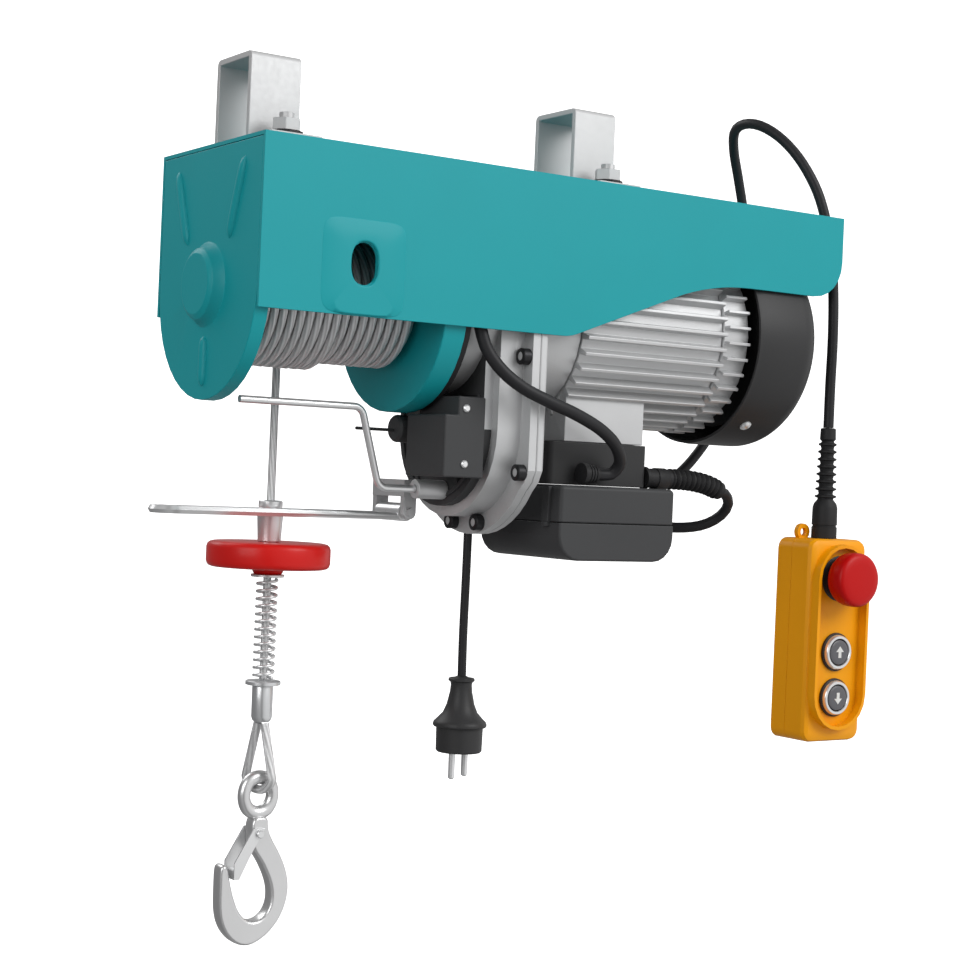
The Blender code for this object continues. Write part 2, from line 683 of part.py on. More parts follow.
def motor_inside():
    centre = (0, 0, MOTOR_Z)
    turned("stator_core", steel(), ring_profile(0.2500, 0.3200, 0.0358, 0.0542), "X", centre, 20)
    turned("stator_windings", copper(), [
        (0.2360, 0.0335), (0.2360, 0.0520), (0.2497, 0.0520), (0.2497, 0.0353), (0.3203, 0.0353),
        (0.3203, 0.0520),
        (0.3340, 0.0520), (0.3340, 0.0335),
    ], "X", centre, 20)
    turned("rear_shield", alloy(), [
        (0.3493, 0.0580), (0.3493, 0.0655), (0.3725, 0.0655), (0.3725, 0.0093), (0.3580, 0.0093),
        (0.3580, 0.0160),
        (0.3650, 0.0160), (0.3650, 0.0580),
    ], "X", centre, 24)
    turned("brake_coil", black_steel(), ring_profile(0.3728, 0.3850, 0.0140, 0.0420), "X", centre, 24)
    turned("brake_disc", steel(), ring_profile(0.3865, 0.3915, 0.0093, 0.0400), "X", centre, 24, centre)


def fan():
    centre = (0, 0, MOTOR_Z)
    body = turned("fan", dark_plastic(), [
        (0.3960, 0.0093), (0.3960, 0.0640), (0.3980, 0.0640), (0.3980, 0.0160), (0.4200, 0.0160),
        (0.4200, 0.0093),
    ], "X", centre, 24, centre)
    join(body, ring_of_boxes("fan_blades", dark_plastic(), 7, (0.3970, 0.0150, -0.0010),
                             (0.4180, 0.0620, 0.0010), centre))


def cowl_profile():
    """Outer and inner skin of the cowl, open to the motor and closed by its grille."""
    bend, shell = 0.020, SHEET
    corner = (COWL_END - bend, COWL_RADIUS - bend)
    outer = arc(corner, bend, 90, 0, 4)
    inner = arc(corner, bend - shell, 0, 90, 4)
    return ([(COWL_START, COWL_RADIUS)] + outer + [(COWL_END, 0.0), (COWL_END - shell, 0.0)] + inner
            + [(COWL_START, COWL_RADIUS - shell)])


def fan_cowl():
    centre = (0, 0, MOTOR_Z)
    cowl = turned("fan_cowl", black_rubber(), cowl_profile(), "X", centre, 32)
    join(cowl, cowl_screws())
    cut(cowl, ring_of_boxes("cowl_grille", black_rubber(), 8, (COWL_END - 0.010, 0.0180, -0.0028),
                            (COWL_END + 0.010, 0.0500, 0.0028), centre))


def cowl_screws():
    bm = bmesh.new()
    for angle in (-126, -54, 90):
        a = math.radians(angle)
        out = Vector((0, math.cos(a), math.sin(a)))
        place = Matrix.Translation(Vector((0.3900, 0, MOTOR_Z))) @ out.to_track_quat("Z", "Y").to_matrix().to_4x4()
        add_turned(bm, [(COWL_RADIUS - 0.0010, 0.0), (COWL_RADIUS - 0.0010, 0.0042), (COWL_RADIUS + 0.0012, 0.0040),
                        (COWL_RADIUS + 0.0024, 0.0022), (COWL_RADIUS + 0.0026, 0.0)], place, 8)
    return finish("cowl_screws", bm, zinc())


# ---------------------------------------------------------------- terminal box and capacitor

def terminal_box():
    low, high = (0.2130, -0.0450), (0.2990, 0.0400)
    top, bottom = -0.2328, -0.2627
    body = prism("terminal_box", dark_plastic(), rounded_rectangle(low, high, 0.004), "Z", bottom, top)
    wall = 0.0025
    inner = rounded_rectangle((low[0] + wall, low[1] + wall), (high[0] - wall, high[1] - wall), 0.002)
    cut(body, prism("terminal_hollow", dark_plastic(), inner, "Z", bottom + wall, top + 0.01))


CAP_LOW, CAP_HIGH = (0.2130, -0.0600), (0.3140, 0.0420)
CAP_TOP, CAP_SPLIT, CAP_BOTTOM = -0.2630, -0.2890, -0.3150


def cap_section(along, inset, radius):
    low = (CAP_LOW[0] + inset, CAP_LOW[1] + inset)
    high = (CAP_HIGH[0] - inset, CAP_HIGH[1] - inset)
    return along, rounded_rectangle(low, high, radius, 4)


def cap_trough(inset, radius, above):
    """The lower half's outline in X and Z, round at its two bottom corners."""
    low_x, high_x, low_z = CAP_LOW[0] + inset, CAP_HIGH[0] - inset, CAP_BOTTOM + inset
    return ([(high_x, CAP_SPLIT + above), (low_x, CAP_SPLIT + above)]
            + arc((low_x + radius, low_z + radius), radius, 180, 270, 5)
            + arc((high_x - radius, low_z + radius), radius, 270, 360, 5))


def capacitor_housing():
    wall = 0.0025
    upper = loft("capacitor_housing_upper", dark_plastic(), "Z", [
        cap_section(CAP_SPLIT + GAP, 0.0, 0.003), cap_section(CAP_TOP - 0.002, 0.0, 0.003),
        cap_section(CAP_TOP, 0.002, 0.002),
    ])
    cut(upper, loft("upper_hollow", dark_plastic(), "Z", [
        cap_section(CAP_SPLIT - 0.01, wall, 0.002), cap_section(CAP_TOP - wall, wall, 0.002),
    ]))
    lower = loft("capacitor_housing_lower", dark_plastic(), "Y", [
        (CAP_LOW[1], cap_trough(0.0010, 0.0170, 0.0)), (CAP_LOW[1] + 0.0010, cap_trough(0.0, 0.0170, 0.0)),
        (CAP_HIGH[1] - 0.0060, cap_trough(0.0, 0.0170, 0.0)), (CAP_HIGH[1], cap_trough(0.0050, 0.0140, 0.0)),
    ])
    cut(lower, prism("lower_hollow", dark_plastic(), cap_trough(wall, 0.0145, 0.01), "Y",
                     CAP_LOW[1] + wall, CAP_HIGH[1] - 0.0060))
    cylinder("capacitor", alloy(), "X", (0, -0.009, -0.2880), 0.2350, 0.2920, 0.0185)


def cable_glands():
    """Where the loom and the pendant cord go into the boxes."""
    loom = turned("loom_gland", black_rubber(), [
        (0.2340, 0.0), (0.2340, 0.0066), (0.2400, 0.0066), (0.2475, 0.0054), (0.2475, 0.0),
    ], "X", (0, -0.0535, -0.2545), 16)
    join(loom, box("loom_foot", black_rubber(), (0.2345, -0.0540, -0.2590), (0.2390, -0.0453, -0.2500)))
    gland = turned("pendant_gland", black_rubber(), [
        (0.2993, 0.0), (0.2993, 0.0070), (0.3110, 0.0070), (0.3120, 0.0062), (0.3220, 0.0062), (0.3220, 0.0),
    ], "X", (0, -0.0400, -0.2555), 12)
    relief = smooth_points(((0.3215, -0.0400, -0.2555), (0.3400, -0.0400, -0.2558), (0.3580, -0.0396, -0.2580),
                            (0.3730, -0.0386, -0.2623)), 0.0065)
    join(gland, curve_mesh(tube("cord_relief", black_rubber(), relief, 0.0072)))
    power = turned("power_cord_gland", black_rubber(), [
        (0.2040, 0.0), (0.2040, 0.0070), (0.2127, 0.0075), (0.2127, 0.0),
    ], "X", (0, 0.0250, -0.2780), 14)
    bm = bmesh.new()
    slant = Vector((-1, 0, -1)).normalized()
    place = Matrix.Translation((0.2085, 0.0250, -0.2755)) @ slant.to_track_quat("Z", "Y").to_matrix().to_4x4()
    add_turned(bm, [(0.0, 0.0), (0.0, 0.0062), (0.0120, 0.0042), (0.0120, 0.0)], place, 14)
    join(power, finish("power_gland_nose", bm, black_rubber()))


# ---------------------------------------------------------------- cords and plug

def cords():
    tube("loom_cable", black_rubber(), smooth_points(LOOM_ROUTE, 0.010), LOOM_RADIUS)
    tube("pendant_cord", black_rubber(), smooth_points(PENDANT_CORD_ROUTE, 0.015), PENDANT_CORD_RADIUS)
    tube("power_cord", black_rubber(), smooth_points(POWER_CORD_ROUTE, 0.009), POWER_CORD_RADIUS)


def plug():
    top = POWER_CORD_ROUTE[-1][2] - GAP
    profile = [
        (top, 0.0), (top, 0.0050), (top - 0.0015, 0.0093), (top - 0.0035, 0.0093), (top - 0.0045, 0.0075),
        (top - 0.0100, 0.0080), (top - 0.0220, 0.0110), (top - 0.0320, 0.0185), (top - 0.0335, 0.0193),
        (top - 0.0360, 0.0193), (top - 0.0360, 0.0165), (top - 0.0540, 0.0165), (top - 0.0540, 0.0),
    ]
    body = turned("mains_plug", dark_plastic(), profile, "Z", (PLUG_X, PLUG_Y, 0), 18)
    bm = bmesh.new()
    low = top - 0.0540
    for side in (-1, 1):
        x = PLUG_X + side * 0.0095 * math.cos(PLUG_TURN)
        y = PLUG_Y + side * 0.0095 * math.sin(PLUG_TURN)
        add_turned(bm, [(low - 0.0190, 0.0), (low - 0.0180, 0.0022), (low + 0.002, 0.0024), (low + 0.002, 0.0)],
                   Matrix.Translation((x, y, 0)), 10)
    join(body, finish("plug_pins", bm, zinc()))


# ---------------------------------------------------------------- limit devices

def limit_switches():
    face, step_x, step_z = GEARBOX_FACE - GAP, 0.1293, -0.2195
    outline = [(0.1190, -0.2610), (face, -0.2610), (face, -0.2070), (step_x, -0.2070), (step_x, step_z),
               (0.1190, step_z)]
    prism("limit_switch_box", dark_plastic(), outline, "Y", -0.0560, -0.0080)
    sensor = turned("drum_sensor", dark_plastic(), [
        (0.1170, 0.0), (0.1170, 0.0080), (0.1190, 0.0095), (GEARBOX_FACE - GAP, 0.0095),
        (GEARBOX_FACE - GAP, 0.0),
    ], "X", (0, 0.0060, -0.2292), 18)
    join(sensor, cylinder("sensor_pin", dark_plastic(), "X", (0, 0.0060, -0.2305), 0.0870, 0.1200, 0.0012, 8))
    turned("rod_bearing", alloy(), ring_profile(0.1270, GEARBOX_FACE - GAP, 0.0029, 0.0066), "X",
           (0, ROD_Y, ROD_PIVOT_Z), 16)


def lower_limit_rod():
    corners = [(x, ROD_Y, z) for x, z in (
        (-0.0080, ROD_TOP_Z), (0.0830, ROD_TOP_Z), (0.0985, ROD_PIVOT_Z), (0.1500, ROD_PIVOT_Z))]
    tube("lower_limit_rod", zinc(), bent_wire(corners, 0.008), ROD_RADIUS, 1, pivot=(0.1, ROD_Y, ROD_PIVOT_Z))


def upper_limit_arm():
    pivot_x, pivot_y, pivot_z = ARM_PIVOT
    loop_x = -0.026
    start_x = pivot_x - 0.0045
    turn = [(loop_x - ARM_HALF_GAP * math.sin(a), pivot_y - ARM_HALF_GAP * math.cos(a), ARM_ROD_Z)
            for a in [math.pi * i / 10 for i in range(11)]]
    front = [(start_x, pivot_y - ARM_HALF_GAP, ARM_ROD_Z)]
    back = [(start_x, pivot_y + ARM_HALF_GAP, ARM_ROD_Z)]
    rods = curve_mesh(tube("arm_rods", zinc(), front + turn + back, ARM_ROD_RADIUS, 1))
    body = turned("upper_limit_arm", zinc(), ring_profile(pivot_y - 0.0160, pivot_y + 0.0160, 0.0030, 0.0065), "Y",
                  (pivot_x, 0, pivot_z), 16, ARM_PIVOT)
    join(body, rods)
    cut(body, cylinder("arm_bore", zinc(), "Y", (pivot_x, 0, pivot_z), 0.025, 0.072, 0.0033, 12))


def curve_mesh(obj):
    """Turn a curve object into a mesh object in the same place."""
    bpy.context.view_layer.update()
    mesh = bpy.data.meshes.new_from_object(obj.evaluated_get(bpy.context.evaluated_depsgraph_get()))
    made = bpy.data.objects.new(obj.name + "_mesh", mesh)
    made.location = obj.location
    bpy.context.scene.collection.objects.link(made)
    bpy.data.objects.remove(obj)
    return made


def arm_bracket():
    """A casting on the gearbox's face with two lugs that hold the arm's pin."""
    pivot_x, pivot_y, pivot_z = ARM_PIVOT
    lug_in, lug_out = 0.0163, 0.0215
    bracket = box("arm_bracket", alloy(), (0.1400, pivot_y - lug_out, -0.2760),
                  (GEARBOX_FACE - GAP, pivot_y + lug_out, -0.2640))
    lug = ([(pivot_x + 0.0050, -0.2700), (pivot_x - 0.0050, -0.2700)]
           + arc((pivot_x, pivot_z), 0.0050, 180, 360, 8))
    for name, first, last in (("arm_lug_front", -lug_out, -lug_in), ("arm_lug_back", lug_in, lug_out)):
        join(bracket, prism(name, alloy(), lug, "Y", pivot_y + first, pivot_y + last))
    join(bracket, cylinder("arm_pin", alloy(), "Y", (pivot_x, 0, pivot_z), pivot_y - 0.0235, pivot_y + 0.0235,
                           0.0030, 12))


# ---------------------------------------------------------------- hook chain

def stop_disc_group():
    centre = (ROPE_X, ROPE_Y, 0)
    bore = ROPE_RADIUS + 0.0005
    tube_radius = bore + 0.0015
    turned("disc_sleeve", zinc(), [
        (SPRING_TOP + GAP, bore), (SLEEVE_TOP, bore), (SLEEVE_TOP, 0.0082), (SLEEVE_TOP - 0.0050, 0.0082),
        (SLEEVE_TOP - 0.0060, 0.0092), (SLEEVE_TOP - 0.0110, 0.0092), (DISC_TOP + GAP, 0.0078),
        (DISC_TOP + GAP, tube_radius), (SPRING_TOP + 0.0021, tube_radius), (SPRING_TOP + 0.0021, 0.0115),
        (SPRING_TOP + GAP, 0.0115),
    ], "Z", centre, 14)
    bore = tube_radius + GAP
    turned("stop_disc", red_paint(), [
        (DISC_BOTTOM - 0.0045, bore), (DISC_BOTTOM - 0.0045, 0.0100), (DISC_BOTTOM - 0.0005, 0.0115),
        (DISC_BOTTOM, DISC_RADIUS - 0.0030), (DISC_BOTTOM + 0.0015, DISC_RADIUS - 0.0008),
        (DISC_BOTTOM + 0.0040, DISC_RADIUS), (DISC_TOP - 0.0040, DISC_RADIUS),
        (DISC_TOP - 0.0015, DISC_RADIUS - 0.0015), (DISC_TOP - 0.0005, DISC_RADIUS - 0.0050),
        (DISC_TOP, bore),
    ], "Z", centre, 28)


def buffer_spring():
    centre_low, centre_high = SPRING_BOTTOM + GAP + SPRING_WIRE, SPRING_TOP - GAP - SPRING_WIRE
    count = SPRING_TURNS * 9
    points = []
    for i in range(count + 1):
        a = 2 * math.pi * i / 9
        z = centre_low + (centre_high - centre_low) * i / count
        points.append((ROPE_X + SPRING_RADIUS * math.cos(a), ROPE_Y + SPRING_RADIUS * math.sin(a), z))
    tube("buffer_spring", zinc(), points, SPRING_WIRE, 0)


def rope_end_group():
    """The rope below the sleeve, its ferrule, and its loop on the hook's eye."""
    centre = (ROPE_X, ROPE_Y, 0)
    seat = SPRING_BOTTOM
    turned("rope_ferrule", alloy(), [
        (FERRULE_BOTTOM, 0.0), (FERRULE_BOTTOM, 0.0062), (FERRULE_BOTTOM + 0.0030, 0.0072),
        (seat - 0.0030, 0.0072),
        (seat - 0.0030, 0.0120), (seat, 0.0120), (seat, 0.0),
    ], "Z", centre, 20)
    half_width, low_z, bar = 0.0125, -0.4795, 0.0034
    centre_z = low_z + half_width
    sides = arc((0.0, centre_z), half_width, 200, 340, 10)
    top_z = FERRULE_BOTTOM - GAP - bar
    outline = [(-0.0030, top_z)] + sides + [(0.0030, top_z)]
    points = []
    for u, z in outline:
        points.append((ROPE_X + u * math.cos(THIMBLE_TURN), ROPE_Y + u * math.sin(THIMBLE_TURN), z))
    tube("thimble_loop", zinc(), points, bar, 1, closed=True)


def hook_outline():
    """The neck, bowl and point of the hook, in X from the rope's line and Z."""
    outer = [
        (0.0062, -0.4970), (0.0064, -0.5060), (0.0100, -0.5135), (0.0158, -0.5225), (0.0208, -0.5325),
        (0.0236, -0.5425), (0.0238, -0.5515), (0.0215, -0.5612), (0.0166, -0.5705), (0.0088, -0.5786),
        (-0.0004, -0.5838), (-0.0080, -0.5850), (-0.0155, -0.5824), (-0.0222, -0.5762), (-0.0268, -0.5678),
        (-0.0288, -0.5575), (-0.0290, -0.5430), (-0.0290, -0.5320), (-0.0276, -0.5287), (-0.0246, -0.5282),
    ]
    inner = [
        (-0.0226, -0.5310), (-0.0207, -0.5405), (-0.0180, -0.5500), (-0.0146, -0.5587), (-0.0098, -0.5652),
        (-0.0040, -0.5684), (0.0020, -0.5680), (0.0072, -0.5644), (0.0104, -0.5584), (0.0110, -0.5510),
        (0.0094, -0.5430), (0.0050, -0.5335), (0.0004, -0.5260), (-0.0044, -0.5200),
    ]
    return outer + inner + [(-0.0064, -0.5120), (-0.0062, -0.4970)]


def hook_group():
    pivot = (ROPE_X, ROPE_Y, EYE_Z)
    eye_half_width, eye_half_height, bar = 0.0108, 0.0125, 0.0044
    half_thick = 0.0060
    outline = [(ROPE_X + u, v) for u, v in hook_outline()]
    hook = prism("load_hook", zinc(), outline, "Y", ROPE_Y - half_thick, ROPE_Y + half_thick, pivot)
    eye = bmesh.new()
    place = axis_matrix("Y", (ROPE_X, ROPE_Y, EYE_Z))
    turns = [2 * math.pi * i / 8 for i in range(8)]
    add_turned(eye, [(bar * math.sin(a), eye_half_width + bar * math.cos(a)) for a in turns], place, 20)
    for vert in eye.verts:
        share = max(-1.0, min(1.0, (vert.co.z - EYE_Z) / eye_half_width))
        vert.co.z += (eye_half_height - eye_half_width) * share
    join(hook, finish("hook_eye", eye, zinc()))
    join(hook, cylinder("latch_pin", zinc(), "Y", (ROPE_X - 0.0015, 0, -0.5085), ROPE_Y - 0.0090, ROPE_Y + 0.0090,
                        0.0016, 10))


def safety_latch():
    """A sprung sheet latch that closes the hook's mouth from inside the point."""
    pin = (ROPE_X - 0.0015, ROPE_Y, -0.5085)
    side, thick = 0.0065, 0.0013
    outline = [(0.0040, 0.0035), (-0.0045, 0.0035), (-0.0180, -0.0190), (-0.0180, -0.0300),
               (-0.0140, -0.0300), (-0.0055, -0.0130)]
    bm = bmesh.new()
    for sign in (-1, 1):
        first, last = sorted((ROPE_Y + sign * side, ROPE_Y + sign * (side + thick)))
        add_prism(bm, [(pin[0] + u, pin[2] + v) for u, v in outline], "Y", first, last)
    latch = finish("safety_latch", bm, zinc(), pin)
    cut(latch, cylinder("latch_bore", zinc(), "Y", (pin[0], 0, pin[2]), ROPE_Y - 0.02, ROPE_Y + 0.02, 0.0019, 10))
    web = box("latch_web", zinc(), (pin[0] - 0.0180, ROPE_Y - side - 0.001, pin[2] - 0.0300),
              (pin[0] - 0.0142, ROPE_Y + side + 0.001, pin[2] - 0.0240))
    join(latch, web)


# ---------------------------------------------------------------- pendant

def pendant_outline(inset, radius):
    low = (PENDANT_X - PENDANT_WIDTH / 2 + inset, PENDANT_BOTTOM + inset)
    high = (PENDANT_X + PENDANT_WIDTH / 2 - inset, PENDANT_TOP - inset)
    return rounded_rectangle(low, high, radius, 4)


def pendant_stadium(half_width, low, high):
    return (arc((PENDANT_X, high - half_width), half_width, 0, 180, 10)
            + arc((PENDANT_X, low + half_width), half_width, 180, 360, 10))


def pendant_shells():
    front_y, back_y = PENDANT_FRONT_Y, PENDANT_BACK_Y
    wall, edge = 0.0025, 0.004
    front = loft("pendant_front", yellow_plastic(), "Y", [
        (front_y, pendant_outline(edge, 0.004)), (front_y + 0.0012, pendant_outline(0.0012, 0.007)),
        (front_y + edge, pendant_outline(0.0, 0.008)), (PENDANT_SPLIT_Y, pendant_outline(0.0, 0.008)),
    ])
    hollow = prism("front_hollow", yellow_plastic(), pendant_outline(wall, 0.0055), "Y",
                   front_y + wall, PENDANT_SPLIT_Y + 0.01)
    bm = bmesh.new()
    for z, radius in ((STOP_Z, 0.0085), (UP_Z, BUTTON_RADIUS + GAP), (DOWN_Z, BUTTON_RADIUS + GAP)):
        add_turned(bm, rod_profile(front_y - 0.005, front_y + 0.006, radius), axis_matrix("Y", (PENDANT_X, 0, z)), 24)
    lip = prism("front_lip", yellow_plastic(), pendant_stadium(0.0262, -0.4368, -0.2985), "Y",
                front_y - 0.0070, front_y + 0.0010)
    lip_inside = prism("front_lip_inside", yellow_plastic(), pendant_stadium(0.0236, -0.4342, -0.3011), "Y",
                       front_y - 0.0200, front_y + 0.0004)
    join(front, lip)
    cut(front, lip_inside, hollow, finish("front_holes", bm, yellow_plastic()))
    split = PENDANT_SPLIT_Y + GAP
    back = loft("pendant_back", yellow_plastic(), "Y", [
        (split, pendant_outline(0.0, 0.008)), (back_y - edge, pendant_outline(0.0, 0.008)),
        (back_y, pendant_outline(edge, 0.005)),
    ])
    cut(back, prism("back_hollow", yellow_plastic(), pendant_outline(wall, 0.0055), "Y",
                    split - 0.01, back_y - wall))
    eyelet = turned("pendant_eyelet", yellow_plastic(), ring_profile(-0.0020, 0.0020, 0.0030, 0.0062), "Y",
                    (PENDANT_X - 0.0150, PENDANT_Y + 0.008, PENDANT_TOP + 0.0045), 16)
    join(back, eyelet)


def pendant_controls():
    front_y = PENDANT_FRONT_Y
    for name, z in (("up_button", UP_Z), ("down_button", DOWN_Z)):
        pivot = (PENDANT_X, front_y, z)
        turned(name, zinc(), [(front_y - 0.0042, 0.0), (front_y - 0.0042, 0.0095),
                              (front_y - 0.0030, BUTTON_RADIUS - GAP),
                              (front_y + 0.0115, BUTTON_RADIUS - GAP),
                              (front_y + 0.0115, 0.0)], "Y", (PENDANT_X, 0, z), 24, pivot)
    pivot = (PENDANT_X, front_y, STOP_Z)
    cylinder("stop_stem", dark_plastic(), "Y", (PENDANT_X, 0, STOP_Z), front_y - 0.0100, front_y + 0.0130,
             0.0080, 16, pivot)
    back = front_y - 0.0060
    turned("stop_head", red_plastic(), [
        (back, 0.0083), (back, 0.0150), (back - 0.0030, 0.0188), (back - 0.0090, 0.0200),
        (back - 0.0140, 0.0185),
        (back - 0.0170, 0.0120), (back - 0.0178, 0.0), (back - 0.0043, 0.0), (back - 0.0043, 0.0083),
    ], "Y", (PENDANT_X, 0, STOP_Z), 20, pivot)
    box("contact_block", dark_plastic(), (PENDANT_X - 0.014, PENDANT_SPLIT_Y - 0.0030, DOWN_Z - 0.012),
        (PENDANT_X + 0.014, PENDANT_Y + 0.0145, STOP_Z + 0.012))


def pendant_boot():
    """Ribbed strain relief and collar where the cord goes into the pendant."""
    top = PENDANT_CORD_ROUTE[-1][2] - GAP
    ribs, rib_top, pitch = 8, top - 0.0090, 0.0056
    profile = [(top, 0.0), (top, 0.0056), (rib_top + 0.0005, 0.0058)]
    for k in range(ribs):
        z = rib_top - k * pitch
        profile += [(z - 0.0010, 0.0046 + 0.0001 * k), (z - pitch * 0.6, 0.0066 + 0.0002 * k)]
    collar = rib_top - ribs * pitch
    profile += [(collar, 0.0062), (collar - 0.0040, 0.0088), (collar - 0.0120, 0.0095),
                (PENDANT_TOP + GAP, 0.0095), (PENDANT_TOP + GAP, 0.0)]
    turned("pendant_boot", black_rubber(), profile, "Z", (PENDANT_X, PENDANT_Y, 0), 12)


def build():
    clear_scene()
    frame_channel()
    drum_end_cheek()
    inner_cheek()
    gasket_ring()
    brackets()
    bracket_bolts()
    drum_group()
    hanging_rope()
    gear_train()
    drum_bearings()
    gearbox_cover()
    gearbox_housing()
    motor_housing()
    motor_inside()
    fan()
    fan_cowl()
    terminal_box()
    capacitor_housing()
    cable_glands()
    cords()
    plug()
    limit_switches()
    lower_limit_rod()
    upper_limit_arm()
    arm_bracket()
    stop_disc_group()
    buffer_spring()
    rope_end_group()
    hook_group()
    safety_latch()
    pendant_shells()
    pendant_controls()
    pendant_boot()


build()
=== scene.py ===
"""Looks for the electric wire rope hoist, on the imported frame. Metres, +Z up, -Y the front."""
import json
import math

import bmesh
import bpy
from mathutils import Matrix, Vector


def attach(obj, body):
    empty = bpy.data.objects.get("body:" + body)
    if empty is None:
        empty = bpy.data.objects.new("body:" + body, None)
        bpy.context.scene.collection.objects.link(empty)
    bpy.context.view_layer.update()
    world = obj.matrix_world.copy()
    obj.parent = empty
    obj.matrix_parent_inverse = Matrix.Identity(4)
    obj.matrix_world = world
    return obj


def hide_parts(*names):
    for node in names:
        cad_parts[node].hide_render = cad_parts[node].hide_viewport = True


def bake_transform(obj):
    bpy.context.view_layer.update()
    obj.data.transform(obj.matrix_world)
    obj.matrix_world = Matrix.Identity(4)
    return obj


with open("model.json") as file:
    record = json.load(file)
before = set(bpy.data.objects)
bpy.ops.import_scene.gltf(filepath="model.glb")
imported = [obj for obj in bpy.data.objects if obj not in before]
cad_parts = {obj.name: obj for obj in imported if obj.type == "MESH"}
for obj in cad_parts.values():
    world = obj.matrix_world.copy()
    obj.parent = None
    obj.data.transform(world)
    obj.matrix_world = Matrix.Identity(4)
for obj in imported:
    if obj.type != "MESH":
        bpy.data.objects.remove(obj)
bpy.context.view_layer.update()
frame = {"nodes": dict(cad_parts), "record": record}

SLOT_OF = {part["node"]: part["material_slot"] for part in frame["record"]["subparts"]}
BODY_OF = {}
for body_name, body_nodes in frame["record"]["behaviour"]["bodies"].items():
    for body_node in body_nodes:
        BODY_OF[body_node] = body_name

DRUM_Z, MOTOR_Z = -0.145, -0.150
ROPE_X, ROPE_Y, ROPE_RADIUS, ROPE_LAY = 0.047, 0.0476, 0.00275, 0.020
PENDANT_X, PENDANT_Y = 0.459, -0.062
STOP_Z, UP_Z, DOWN_Z = -0.324, -0.379, -0.413
LATCH_PIN_X, LATCH_PIN_Z, LATCH_PIN_HALF = ROPE_X - 0.0015, -0.5085, 0.0090
FRONT_FACE, CHEEK_FACE = -0.0734, -0.0308  # just inside the outer faces of the front flange and the cheek
MOTOR_FINS, COWL_END, COWL_SHEET = 38, 0.437, 0.0025
PENDANT_CORD_ROUTE = (
    (0.3745, -0.0384, -0.2631), (0.3825, -0.0365, -0.2655), (0.3890, -0.0315, -0.2735),
    (0.3870, -0.0235, -0.2825), (0.3780, -0.0150, -0.2890), (0.3640, -0.0050, -0.2915),
    (0.3490, 0.0080, -0.2905), (0.3390, 0.0260, -0.2870), (0.3420, 0.0450, -0.2820),
    (0.3580, 0.0580, -0.2770), (0.3790, 0.0620, -0.2710), (0.4000, 0.0600, -0.2610),
    (0.4200, 0.0560, -0.2450), (0.4370, 0.0520, -0.2230), (0.4510, 0.0490, -0.1980),
    (0.4600, 0.0475, -0.1700), (0.4645, 0.0465, -0.1400), (0.4655, 0.0460, -0.1050),
    (0.4640, 0.0455, -0.0700), (0.4590, 0.0445, -0.0400), (0.4490, 0.0410, -0.0140),
    (0.4360, 0.0330, 0.0060), (0.4240, 0.0190, 0.0180), (0.4200, 0.0020, 0.0210),
    (0.4220, -0.0150, 0.0170), (0.4280, -0.0310, 0.0060), (0.4350, -0.0450, -0.0110),
    (0.4430, -0.0550, -0.0330), (0.4490, -0.0600, -0.0560), (0.4545, -0.0620, -0.0820),
    (0.4580, -0.0622, -0.1120), (0.4595, -0.0620, -0.1450), (0.4590, -0.0620, -0.1800),
    (0.4590, -0.0620, -0.2115),
)
POWER_CORD_ROUTE = (
    (0.1990, 0.0250, -0.2850), (0.1961, 0.0250, -0.2892), (0.1946, 0.0250, -0.2948),
    (0.1945, 0.0250, -0.3050), (0.1945, 0.0250, -0.3220), (0.1943, 0.0249, -0.3420),
    (0.1941, 0.0249, -0.3620), (0.1942, 0.0250, -0.3820), (0.1945, 0.0250, -0.4025),
)
LOOM_ROUTE = (
    (0.1345, -0.0642, -0.1500), (0.1370, -0.0645, -0.1590), (0.1420, -0.0670, -0.1755),
    (0.1520, -0.0720, -0.1895), (0.1660, -0.0770, -0.2000), (0.1860, -0.0795, -0.2080),
    (0.2090, -0.0785, -0.2150), (0.2330, -0.0750, -0.2240), (0.2510, -0.0690, -0.2340),
    (0.2620, -0.0610, -0.2450), (0.2610, -0.0550, -0.2530), (0.2550, -0.0535, -0.2545),
    (0.2480, -0.0535, -0.2545),
)


# ---------------------------------------------------------------- materials

